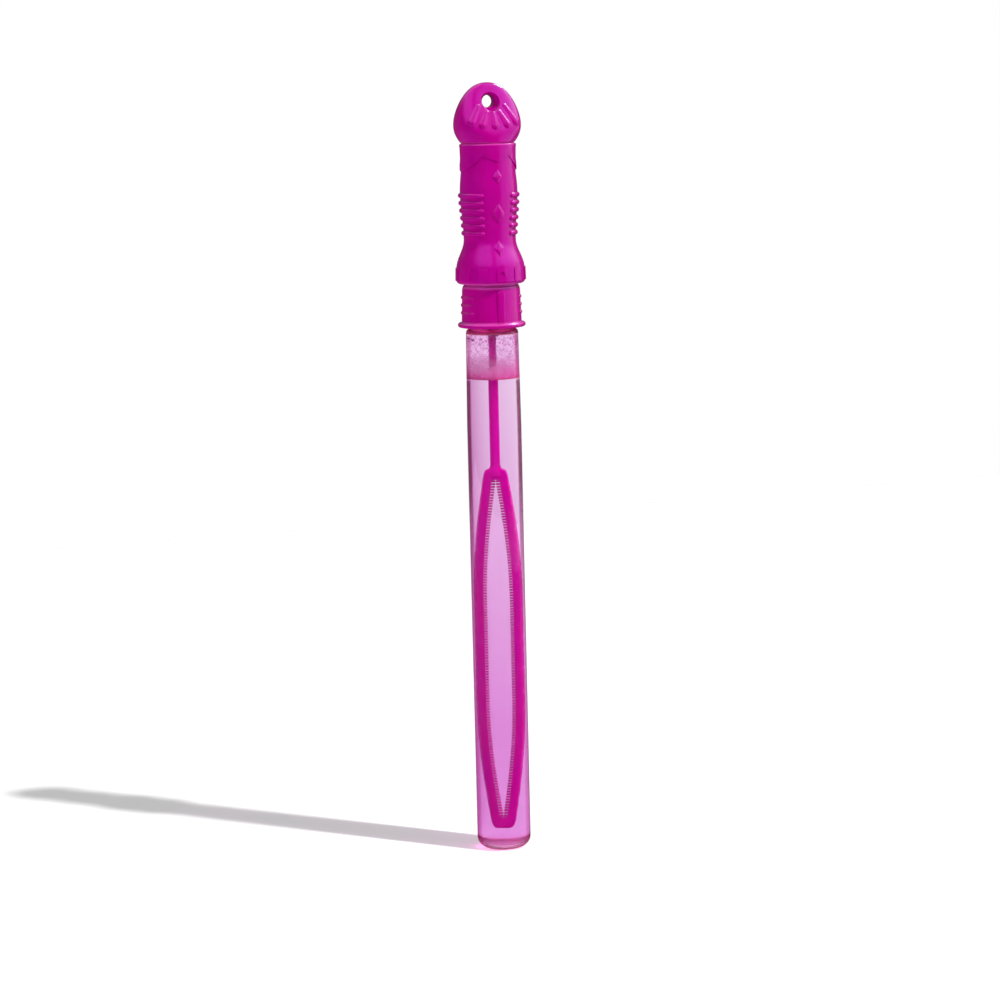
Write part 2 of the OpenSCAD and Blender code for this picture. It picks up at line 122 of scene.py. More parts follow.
def ease(t: float) -> float:
    """Smooth change from 0 to 1 as t goes from 0 to 1."""
    return (1 - math.cos(math.pi * min(1.0, max(0.0, t)))) / 2


def spread(low: float, high: float, count: int) -> list[float]:
    """Evenly spaced numbers, with both ends."""
    return [low + (high - low) * i / (count - 1) for i in range(count)]


# ---------------------------------------------------------------- the bench


class Bench:
    """Hand tools for meshes. Every tool starts with nothing selected."""

    @staticmethod
    def clear() -> None:
        """Leaves edit mode and deselects everything."""
        if bpy.context.object and bpy.context.object.mode != "OBJECT":
            bpy.ops.object.mode_set(mode="OBJECT")
        bpy.ops.object.select_all(action="DESELECT")

    @staticmethod
    def take(piece: Piece) -> Piece:
        """Selects one piece alone and makes it the active one.

        Args:
            piece: The piece.

        Returns:
            The piece.
        """
        Bench.clear()
        piece.select_set(True)
        bpy.context.view_layer.objects.active = piece
        return piece

    @staticmethod
    def named(name: str) -> Piece:
        """Names the active piece and its mesh.

        Args:
            name: The name.

        Returns:
            The piece.
        """
        piece = bpy.context.object
        piece.name = name
        piece.data.name = name
        return piece

    @staticmethod
    def chain(name: str, points: Sequence[Flat], closed: bool) -> Piece:
        """Draws a line of edges in the plane of X and Z, one extrude at a time.

        Args:
            name: Name of the new piece.
            points: Distance from the axis and height of each point, in millimetres.
            closed: True if the last point joins the first.

        Returns:
            The piece, left in edit mode with everything selected.
        """
        Bench.clear()
        places = [Vector((x, 0, z)) * MM for x, z in points]
        bpy.ops.mesh.primitive_plane_add(size=MM, location=(0, 0, 0))
        piece = Bench.named(name)
        bpy.ops.object.mode_set(mode="EDIT")
        bpy.ops.mesh.merge(type="CENTER")
        bpy.ops.transform.translate(value=places[0])
        for here, there in zip(places, places[1:]):
            bpy.ops.mesh.extrude_vertices_move(TRANSFORM_OT_translate={"value": there - here})
        bpy.ops.mesh.select_all(action="SELECT")
        if closed:
            mesh = bmesh.from_edit_mesh(piece.data)
            for vert in mesh.verts:
                vert.select = len(vert.link_edges) < 2
            mesh.select_flush_mode()
            bpy.ops.mesh.edge_face_add()
            bpy.ops.mesh.select_all(action="SELECT")
        return piece

    @staticmethod
    def tidy(piece: Piece, gap: float = 0.001) -> Piece:
        """Merges doubles and turns the faces outwards.

        Args:
            piece: The piece.
            gap: Points closer than this many millimetres become one.

        Returns:
            The piece, in object mode.
        """
        Bench.take(piece)
        bpy.ops.object.mode_set(mode="EDIT")
        bpy.ops.mesh.select_all(action="SELECT")
        bpy.ops.mesh.remove_doubles(threshold=gap * MM)
        bpy.ops.mesh.normals_make_consistent(inside=False)
        bpy.ops.object.mode_set(mode="OBJECT")
        return piece

    @staticmethod
    def spun(name: str, points: Sequence[Flat], steps: int) -> Piece:
        """Spins a half profile round the Z axis into a closed solid.

        Args:
            name: Name of the new piece.
            points: Radius and height of each point. An open line starts and ends on the axis.
            steps: Number of steps in the turn.

        Returns:
            The piece, in object mode.
        """
        on_axis = abs(points[0][0]) < 1e-9 and abs(points[-1][0]) < 1e-9
        piece = Bench.chain(name, points, closed=not on_axis)
        bpy.ops.mesh.spin(steps=steps, angle=math.tau, center=(0, 0, 0), axis=(0, 0, 1))
        return Bench.tidy(piece)

    @staticmethod
    def lofted(name: str, rings: Sequence[Ring]) -> Piece:
        """Extrudes a disc from ring to ring into a closed solid.

        Args:
            name: Name of the new piece.
            rings: Rings of points in metres, with the same number in each.

        Returns:
            The piece, in object mode.
        """
        Bench.clear()
        sides = len(rings[0])
        bpy.ops.mesh.primitive_circle_add(vertices=sides, radius=MM, fill_type="NGON")
        piece = Bench.named(name)
        bpy.ops.object.mode_set(mode="EDIT")
        mesh = bmesh.from_edit_mesh(piece.data)
        spoke = mesh.verts.layers.int.new("spoke")
        for vert in mesh.verts:
            vert[spoke] = round(math.atan2(vert.co.y, vert.co.x) / math.tau * sides) % sides
        for number, ring in enumerate(rings):
            if number:
                bpy.ops.mesh.extrude_region_move(TRANSFORM_OT_translate={"value": (0, 0, MM)})
                mesh = bmesh.from_edit_mesh(piece.data)
                spoke = mesh.verts.layers.int["spoke"]
            for vert in mesh.verts:
                if vert.select:
                    vert.co = ring[vert[spoke]]
            bmesh.update_edit_mesh(piece.data)
        bpy.ops.object.mode_set(mode="OBJECT")
        piece.data.attributes.remove(piece.data.attributes["spoke"])
        return Bench.tidy(piece, gap=0.0001)

    @staticmethod
    def slab(name: str, outline: Sequence[Flat], y0: float, y1: float) -> Piece:
        """Fills an upright outline and extrudes it from front to back.

        Args:
            name: Name of the new piece.
            outline: Points in X and Z, in millimetres.
            y0: Front of the slab, in millimetres.
            y1: Back of the slab, in millimetres.

        Returns:
            The piece, in object mode.
        """
        piece = Bench.chain(name, outline, closed=True)
        bpy.ops.mesh.edge_face_add()
        bpy.ops.transform.translate(value=(0, y0 * MM, 0))
        bpy.ops.mesh.extrude_region_move(TRANSFORM_OT_translate={"value": (0, (y1 - y0) * MM, 0)})
        return Bench.tidy(piece)

    @staticmethod
    def finish(piece: Piece, kind: str, **settings: object) -> Piece:
        """Puts a modifier on a piece and applies it.

        Args:
            piece: The piece.
            kind: Kind of modifier.
            **settings: Its settings.

        Returns:
            The piece.
        """
        Bench.take(piece)
        modifier = piece.modifiers.new(kind.lower(), kind)
        for key, value in settings.items():
            setattr(modifier, key, value)
        bpy.ops.object.modifier_apply(modifier=modifier.name)
        return piece

    @staticmethod
    def rounded(piece: Piece, width: float, segments: int, angle: float = 30) -> Piece:
        """Bevels the edges that are sharper than an angle in degrees, by a width in millimetres.

        Args:
            piece: The piece.
            width: Width of the bevel, in millimetres.
            segments: Its segments.
            angle: Edges sharper than this many degrees are bevelled.

        Returns:
            The piece.
        """
        return Bench.finish(
            piece, "BEVEL", width=width * MM, segments=segments, limit_method="ANGLE",
            angle_limit=math.radians(angle), harden_normals=False,
        )

    @staticmethod
    def cut(piece: Piece, tool: Piece, how: Cut) -> Piece:
        """Adds, takes away or keeps one solid by another, and removes the tool.

        Args:
            piece: The piece that stays.
            tool: The other solid.
            how: What the tool does.

        Returns:
            The piece that stays.
        """
        Bench.finish(piece, "BOOLEAN", operation=how.value, solver="EXACT", object=tool)
        bpy.data.objects.remove(tool)
        return piece

    @staticmethod
    def joined(name: str, pieces: Sequence[Piece]) -> Piece:
        """Joins several pieces into one mesh.

        Args:
            name: Name of the joined piece.
            pieces: The pieces.

        Returns:
            The joined piece.
        """
        Bench.clear()
        for piece in pieces:
            piece.select_set(True)
        bpy.context.view_layer.objects.active = pieces[0]
        if len(pieces) > 1:
            bpy.ops.object.join()
        return Bench.named(name)

    @staticmethod
    def applied(piece: Piece) -> Piece:
        """Moves a piece's place, turn and size into its mesh.

        Args:
            piece: The piece.

        Returns:
            The piece, active and selected.
        """
        Bench.take(piece)
        bpy.ops.object.transform_apply(location=True, rotation=True, scale=True)
        return piece

    @staticmethod
    def turned(piece: Piece, angle: float) -> Piece:
        """Turns a piece about the Z axis by an angle in degrees, in its mesh.

        Args:
            piece: The piece.
            angle: Angle in degrees.

        Returns:
            The piece.
        """
        piece.rotation_euler.z = math.radians(angle)
        return Bench.applied(piece)

    @staticmethod
    def copied(piece: Piece, angle: float) -> Piece:
        """Copies a piece with its own mesh and turns the copy about the Z axis, in degrees.

        Args:
            piece: The piece.
            angle: Angle in degrees.

        Returns:
            The copy.
        """
        Bench.take(piece)
        bpy.ops.object.duplicate()
        return Bench.turned(bpy.context.object, angle)

    @staticmethod
    def smoothed(piece: Piece, angle: float = 35) -> Piece:
        """Shades a piece smooth, but for edges sharper than an angle in degrees.

        Args:
            piece: The piece.
            angle: Edges sharper than this many degrees stay sharp.

        Returns:
            The piece.
        """
        Bench.take(piece)
        bpy.ops.object.shade_smooth_by_angle(angle=math.radians(angle))
        return piece


def tube_rings(path: Sequence[Vector], radii: Sequence[float], sides: int) -> list[Ring]:
    """Round rings square to a path.

    Args:
        path: Middles of the rings, in metres.
        radii: Radius of each ring, in metres.
        sides: Points in a ring.

    Returns:
        The rings.
    """
    rings = []
    for i, (middle, radius) in enumerate(zip(path, radii)):
        along = path[min(i + 1, len(path) - 1)] - path[max(i - 1, 0)]
        across = along.cross(Vector((0, 0, 1))).normalized()
        up = across.cross(along).normalized()
        angles = [math.tau * k / sides for k in range(sides)]
        rings.append([middle + (across * math.cos(a) + up * math.sin(a)) * radius for a in angles])
    return rings


def thread_rings(
    r_root: float, r_crest: float, z0: float, pitch: float, turns: float, start: float
) -> list[Ring]:
    """Rings of a right-hand thread ridge that fades out at both ends.

    Args:
        r_root: Radius of its buried root, in millimetres.
        r_crest: Radius of its crest, in millimetres.
        z0: Height of its start, in millimetres.
        pitch: Rise in a turn, in millimetres.
        turns: Number of turns.
        start: Angle of its start, in degrees.

    Returns:
        The rings.
    """
    steps = round(turns * 40)
    rings = []
    for i in range(steps + 1):
        t = i / steps
        fade = ease(min(t, 1 - t) * 8)
        angle = math.radians(start) + math.tau * turns * t
        z = z0 + pitch * turns * t
        crest = r_root + (r_crest - r_root) * max(fade, 0.02)
        half_root, half_crest = pitch * 0.3, pitch * 0.1
        section = [
            (r_root, z - half_root), (crest, z - half_crest), (crest, z + half_crest),
            (r_root, z + half_root),
        ]
        if r_crest < r_root:
            section.reverse()
        rings.append([Vector((r * math.cos(angle), r * math.sin(angle), h)) * MM for r, h in section])
    return rings


# ---------------------------------------------------------------- finishes


class Board:
    """Node tree of one material, with short ways to add nodes and join them."""

    def __init__(self, name: str) -> None:
        """Starts a material with an empty node tree and an output.

        Args:
            name: Name of the material.
        """
        self.material = bpy.data.materials.new(name)
        self.material.use_nodes = True
        self.tree = self.material.node_tree
        self.tree.nodes.clear()
        self.out = self.add("ShaderNodeOutputMaterial")
        self.place = self.add("ShaderNodeTexCoord").outputs["Object"]

    def add(self, kind: str, settings: dict[str, object] | None = None, **inputs: object) -> bpy.types.Node:
        """Adds a node.

        Args:
            kind: Kind of node.
            settings: The node's own settings.
            **inputs: Values or sockets for its inputs, with _ for a space in a name.

        Returns:
            The node.
        """
        node = self.tree.nodes.new(kind)
        for key, value in (settings or {}).items():
            setattr(node, key, value)
        for key, value in inputs.items():
            socket = node.inputs[int(key[1:])] if key[0] == "n" and key[1:].isdigit() else node.inputs[
                key.replace("_", " ")
            ]
            if isinstance(value, Socket):
                self.tree.links.new(value, socket)
            else:
                socket.default_value = value
        return node

    @property
    def height(self) -> Socket:
        """Height of a point of the piece, in metres."""
        return self.add("ShaderNodeSeparateXYZ", Vector=self.place).outputs["Z"]

    def math(self, operation: str, *values: object, clamp: bool = False) -> Socket:
        """Works out one step with values or sockets.

        Args:
            operation: The step, such as MULTIPLY.
            *values: The values or sockets.
            clamp: True to hold the result between 0 and 1.

        Returns:
            The result.
        """
        inputs = {f"n{number}": value for number, value in enumerate(values)}
        return self.add("ShaderNodeMath", {"operation": operation, "use_clamp": clamp}, **inputs).outputs[0]

    def edges(self, scale: float) -> Socket:
        """Distance to the edges of cells, of a scale in cells per metre."""
        settings = {"feature": "DISTANCE_TO_EDGE"}
        return self.add("ShaderNodeTexVoronoi", settings, Vector=self.place, Scale=scale).outputs["Distance"]

    def noise(self, scale: float, detail: float = 3.0, stretch: Place = (1, 1, 1)) -> Socket:
        """Cloudy pattern of a scale in spots per metre, stretched along the axes."""
        placed = self.add("ShaderNodeMapping", Vector=self.place, Scale=stretch).outputs["Vector"]
        return self.add("ShaderNodeTexNoise", Vector=placed, Scale=scale, Detail=detail).outputs["Fac"]

    def between(
        self, socket: Socket, low: float, high: float, to_low: float, to_high: float
    ) -> Socket:
        """Maps a range of values to another, and holds it at its ends.

        Args:
            socket: The value.
            low: Start of its range.
            high: End of its range.
            to_low: Start of the new range.
            to_high: End of the new range.

        Returns:
            The new value.
        """
        node = self.add("ShaderNodeMapRange")
        self.tree.links.new(socket, node.inputs[0])
        for number, value in enumerate((low, high, to_low, to_high), start=1):
            node.inputs[number].default_value = value
        return node.outputs[0]

    def tint(self, share: Socket, first: Colour, second: Colour) -> Socket:
        """Mixes two colours by a share from 0 to 1.

        Args:
            share: Share of the second colour.
            first: First colour.
            second: Second colour.

        Returns:
            The mixed colour.
        """
        node = self.add("ShaderNodeMix", {"data_type": "RGBA"})
        self.tree.links.new(share, node.inputs[0])
        node.inputs[6].default_value = (*first, 1)
        node.inputs[7].default_value = (*second, 1)
        return node.outputs[2]

    def blend(self, share: Socket, first: object, second: object) -> Socket:
        """Mixes two colours by a share from 0 to 1, where each is a colour or a socket.

        Args:
            share: Share of the second one.
            first: First colour or socket.
            second: Second colour or socket.

        Returns:
            The mixed colour.
        """
        node = self.add("ShaderNodeMix", {"data_type": "RGBA"}, n0=share)
        for number, value in ((6, first), (7, second)):
            if isinstance(value, Socket):
                self.tree.links.new(value, node.inputs[number])
            else:
                node.inputs[number].default_value = (*value[:3], 1)
        return node.outputs[2]

    def bump(self, height: Socket, distance: float, strength: float) -> Socket:
        """Bumps of a height in millimetres."""
        return self.add(
            "ShaderNodeBump", Height=height, Distance=distance * MM, Strength=strength
        ).outputs["Normal"]

    def shadow_tint(self, shader: bpy.types.Node, tint: object) -> None:
        """Shows a clear shader, and lets lamps through it with a tint, a colour or a socket.

        Args:
            shader: The clear shader.
            tint: Colour or socket of the light that passes.
        """
        film = self.add(
            "ShaderNodeBsdfTransparent", Color=tint if isinstance(tint, Socket) else (*tint, 1)
        )
        rays = self.add("ShaderNodeLightPath")
        mix = self.add(
            "ShaderNodeMixShader", n0=rays.outputs["Is Shadow Ray"], n1=shader.outputs[0], n2=film.outputs[0]
        )
        self.show(mix)

    def fill(self, dye: Colour, strength: float) -> None:
        """Fills the solid with a clear dye."""
        inside = self.add("ShaderNodeVolumeAbsorption", Color=(*dye, 1), Density=strength)
        self.tree.links.new(inside.outputs[0], self.out.inputs["Volume"])

    def show(self, shader: bpy.types.Node) -> None:
        """Joins a shader to the output."""
        self.tree.links.new(shader.outputs[0], self.out.inputs["Surface"])


@dataclass(frozen=True)
class MouldedPlastic:
    """Glossy dyed plastic that light enters a little way, from a polished mould."""

    name: str
    colour: Colour
    swirl: Colour
    roughness: float = 0.2
    depth: float = 1.6
    gloss: Colour = (0.38, 0.2, 1.0)
    level: float = 0.5
    # thin holds the heights and half heights of bands where glow is painted into the base colour. This is
    # painted light: lighter lines on edges and in grooves.
    thin: tuple[Flat, ...] = ()
    glow: Colour = (0.68, 0.06, 0.42)

    def make(self) -> Material:
        """Makes the material, with faint swirls of dye, handling marks, mould texture and painted glow in the
        bands of thin.

        Returns:
            The material.
        """
        board = Board(self.name)
        dye = board.between(board.noise(60, 4, (1, 1, 0.4)), 0.35, 0.65, 0, 1)
        marks = board.between(board.noise(240, 5), 0.3, 0.7, self.roughness - 0.05, self.roughness + 0.07)
        skin = board.noise(2600, 2)
        colour = board.tint(dye, self.colour, self.swirl)
        height = board.height
        # Painted glow: within each band of thin, the base colour turns lighter.
        for z, half in self.thin:
            off = board.math("ABSOLUTE", board.math("SUBTRACT", height, z * MM))
            colour = board.blend(board.between(off, half * 0.4 * MM, half * MM, 0.85, 0), colour, self.glow)
        shader = board.add(
            "ShaderNodeBsdfPrincipled", Base_Color=colour, Roughness=marks, IOR=1.49,
            Specular_IOR_Level=self.level, Specular_Tint=(*self.gloss, 1), Subsurface_Weight=0.25,
            Subsurface_Radius=(1.0, 0.16, 0.38), Subsurface_Scale=self.depth * MM,
            Normal=board.bump(skin, 0.012, 0.35)
        )
        board.show(shader)
        return board.material


@dataclass(frozen=True)
class ClearWall:
    """Clear, faintly pink plastic: painted shade on its edges beside the solution, redder at shoulder and
    foot.
    """

    name: str
    z_wet: float
    z_shoulder: float
    shine: float
    colour: Colour = (0.985, 0.93, 0.972)
    rim: Colour = (0.86, 0.42, 0.62)
    # Painted shade: near-black colour of the edges beside the solution.
    painted_edge_shade: Colour = (0.16, 0.03, 0.07)
    ring: Colour = (1.0, 0.11, 0.46)
    foot: Colour = (1.0, 0.38, 0.48)
    shade: Colour = (0.59, 0.54, 0.58)
    foot_shade: Colour = (0.84, 0.34, 0.56)
    ring_h: float = 3.0
    cloudy: float = 0.72

    def make(self) -> Material:
        """Makes the material, with a slight waviness, hairline marks and edge colours by facing, with painted
        shade on the edges beside the solution.

        Returns:
            The material.
        """
        board = Board(self.name)
        height = board.height
        up = board.between(height, self.z_wet * 0.42 * MM, self.z_wet * 0.8 * MM, 0, 1)
        down = board.between(height, (self.z_wet - 1.2) * MM, self.z_wet * MM, 1, 0)
        # Painted shade: the band of heights, beside the solution, in which the edges turn dark.
        painted_edge_shade_band = board.math("MULTIPLY", up, down)
        low = board.between(height, 2.5 * MM, 9 * MM, 1, 0)
        foot = board.between(height, 0.5 * MM, 5 * MM, 0.95, 0)
        edge_colour = board.blend(low, board.tint(painted_edge_shade_band, self.rim, self.painted_edge_shade), self.foot)
        facing = board.add("ShaderNodeLayerWeight", Blend=0.5).outputs["Facing"]
        edge = board.between(facing, 0.43, 0.53, 0, 1)
        wall = board.blend(edge, (*self.colour, 1), edge_colour)
        rise = board.between(height, (self.z_shoulder - 0.5) * MM, (self.z_shoulder + 0.3) * MM, 0, 1)
        z_fall = self.z_shoulder + self.ring_h
        fall = board.between(height, z_fall * MM, (z_fall + self.ring_h) * MM, 1, 0)
        neck = board.math("MULTIPLY", rise, fall)
        wave = board.noise(35, 2, (1, 1, 0.12))
        marks = board.between(board.noise(900, 4, (1, 1, 0.08)), 0.45, 0.75, 0.0, 0.012)
        shader = board.add(
            "ShaderNodeBsdfPrincipled", Base_Color=board.blend(neck, wall, self.ring), Roughness=marks,
            IOR=1.5, Specular_Tint=(self.shine, self.shine, self.shine, 1),
            Normal=board.bump(wave, 0.05, 0.3),
            Transmission_Weight=board.between(board.math("MAXIMUM", neck, foot), 0, 1, 1, self.cloudy)
        )
        board.shadow_tint(shader, board.tint(low, self.shade, self.foot_shade))
        return board.material


@dataclass(frozen=True)
class PinkSolution:
    """Clear pink liquid, dyed through."""

    name: str
    dye: Colour = (0.676, 0.106, 0.70)
    strength: float = 25.0
    # deep and top are the base colours low down and at the top. The change between them is painted light.
    deep: Colour = (0.79, 0.44, 0.77)
    top: Colour = (0.99, 0.985, 0.99)
    shade: Colour = (0.70, 0.62, 0.71)

    def make(self) -> Material:
        """Makes the material, with the dye in its volume, faint ripples on its surface and painted light that
        makes it lighter towards the top.

        Returns:
            The material.
        """
        board = Board(self.name)
        height = board.height
        # Painted light: the base colour runs from deep pink low down to near white at the top.
        up = board.between(height, 60 * MM, 225 * MM, 0, 1)
        ripple = board.noise(220, 3)
        shine = board.between(board.noise(400, 2), 0.4, 0.6, 0.0, 0.005)
        shader = board.add(
            "ShaderNodeBsdfPrincipled", Base_Color=board.tint(up, self.deep, self.top),
            Roughness=shine, IOR=1.33, Specular_Tint=(0.15, 0.15, 0.15, 1), Transmission_Weight=1.0,
            Normal=board.bump(ripple, 0.02, 0.15)
        )
        board.shadow_tint(shader, self.shade)
        board.fill(self.dye, self.strength)
        return board.material


@dataclass(frozen=True)
class PinkFroth:
    """Wet foam that light passes: pale cells above, and finer, pinker and denser ones below."""

    name: str
    z_low: float
    pale: Colour = (0.90, 0.62, 0.90)
    cell: Colour = (0.50, 0.17, 0.45)
    dense: Colour = (0.60, 0.10, 0.38)
    dense_cell: Colour = (0.80, 0.32, 0.62)
    foot: Colour = (0.62, 0.08, 0.30)
    shade: Colour = (0.92, 0.80, 0.90)

    def make(self) -> Material:
        """Makes the material, with its cells in colour, gloss and bump.

        Returns:
            The material.
        """
        board = Board(self.name)
        height = board.height
        cloud = board.noise(170, 4)
        ragged = board.math("MULTIPLY_ADD", cloud, 9 * MM, height)
        up = board.between(ragged, (self.z_low + 6) * MM, (self.z_low + 15) * MM, 0, 1)
        fine = board.edges(1500.0)
        large = board.edges(620.0)
        cells = board.add(
            "ShaderNodeMix", {"data_type": "FLOAT"}, n0=up, n2=board.between(fine, 0.02, 0.28, 0, 1),
            n3=board.between(large, 0.02, 0.24, 0, 1)
        ).outputs[0]
        patch = board.between(board.noise(420, 5), 0.40, 0.60, 0, 1)
        share = board.math("MULTIPLY", cells, patch)
        colour = board.blend(
            up, board.tint(share, self.dense, self.dense_cell), board.tint(share, self.pale, self.cell)
        )
        foot = board.between(height, self.z_low * MM, (self.z_low + 1.2) * MM, 1, 0)
        shader = board.add(
            "ShaderNodeBsdfPrincipled", Base_Color=board.blend(foot, colour, self.foot),
            Roughness=board.between(cells, 0, 1, 0.1, 0.0), IOR=1.05, Specular_Tint=(0.5, 0.5, 0.5, 1),
            Transmission_Weight=board.between(up, 0, 1, 0.4, 0.97), Normal=board.bump(cells, 0.2, 0.6)
        )
        board.shadow_tint(shader, self.shade)
        return board.material


@dataclass(frozen=True)
class BubbleSkin:
    """Thin wet skin of a single bubble."""

    name: str
    thin: Colour = (0.98, 0.84, 0.95)
    thick: Colour = (0.90, 0.66, 0.86)
    shade: Colour = (0.95, 0.88, 0.94)

    def make(self) -> Material:
        """Makes the material, clear but for its gloss and a faint pink.

        Returns:
            The material.
        """
        board = Board(self.name)
        swirl = board.between(board.noise(900, 3), 0.35, 0.65, 0, 1)
        shader = board.add(
            "ShaderNodeBsdfPrincipled", Base_Color=board.tint(swirl, self.thin, self.thick),
            Roughness=board.between(swirl, 0, 1, 0.0, 0.03), IOR=1.03, Transmission_Weight=1.0,
        )
        board.shadow_tint(shader, self.shade)
        return board.material


@dataclass(frozen=True)
class WasherFoam:
    """Soft white sheet foam of the washer."""

    name: str
    pore: Colour = (0.90, 0.87, 0.89)
    skin: Colour = (0.80, 0.74, 0.78)

    def make(self) -> Material:
        """Makes the material, with its fine closed cells.

        Returns:
            The material.
        """
        board = Board(self.name)
        cells = board.add("ShaderNodeTexVoronoi", Vector=board.place, Scale=2400.0).outputs["Distance"]
        share = board.between(cells, 0.1, 0.6, 0, 1)
        shader = board.add(
            "ShaderNodeBsdfPrincipled", Base_Color=board.tint(share, self.pore, self.skin),
            Roughness=board.between(share, 0, 1, 0.75, 0.9), Normal=board.bump(cells, 0.06, 0.5),
        )
        board.show(shader)
        return board.material


@dataclass(frozen=True)
class PaleFloor:
    """White sweep that the object stands on."""

    name: str
    lift: float = 0.13
    shine: float = 0.08
    across: Colour = (1.0, 0.0, 0.0)
    # Colour of the floor to the right, seen through clear parts: painted shade.
    painted_through_shade: Colour = (1.0, 1.0, 1.0)
    paper: Colour = (0.94, 0.94, 0.94)
    grain: Colour = (0.96, 0.96, 0.96)

    def make(self) -> Material:
        """Makes the material: plain white, brighter to the camera, and pinker at the right through clear
        parts as painted shade.

        Returns:
            The material.
        """
        board = Board(self.name)
        grain = board.between(board.noise(40, 2), 0.3, 0.7, 0, 1)
        rays = board.add("ShaderNodeLightPath").outputs
        away = board.add("ShaderNodeVectorMath", {"operation": "NORMALIZE"}, Vector=board.place).outputs[0]
        right = board.add(
            "ShaderNodeVectorMath", {"operation": "DOT_PRODUCT"}, n0=away, n1=self.across
        ).outputs["Value"]
        through = rays["Is Transmission Ray"]
        # Painted shade: seen through clear parts, the floor to the right turns pinker.
        pink = board.math("MULTIPLY", board.between(right, *PAINTED_SHADE_SPAN, 0, 1), through)
        white = board.tint(grain, self.paper, self.grain)
        paper = board.add(
            "ShaderNodeBsdfPrincipled", Base_Color=board.blend(pink, white, self.painted_through_shade),
            Roughness=0.9, Specular_IOR_Level=0.1
        )
        glow = board.add("ShaderNodeEmission", Color=(1, 1, 1, 1), Strength=self.lift)
        both = board.add("ShaderNodeAddShader", n0=paper.outputs[0], n1=glow.outputs[0])
        dim = board.add("ShaderNodeBsdfDiffuse", Color=(self.shine, self.shine, self.shine, 1))
        seen = board.math("MAXIMUM", rays["Is Camera Ray"], through)
        plain = board.add("ShaderNodeMixShader", n0=seen, n1=paper.outputs[0], n2=both.outputs[0]).outputs[0]
        mirrored = board.math("SUBTRACT", rays["Is Glossy Ray"], through, clamp=True)
        board.show(board.add("ShaderNodeMixShader", n0=mirrored, n1=plain, n2=dim.outputs[0]))
        return board.material


# ---------------------------------------------------------------- the studio


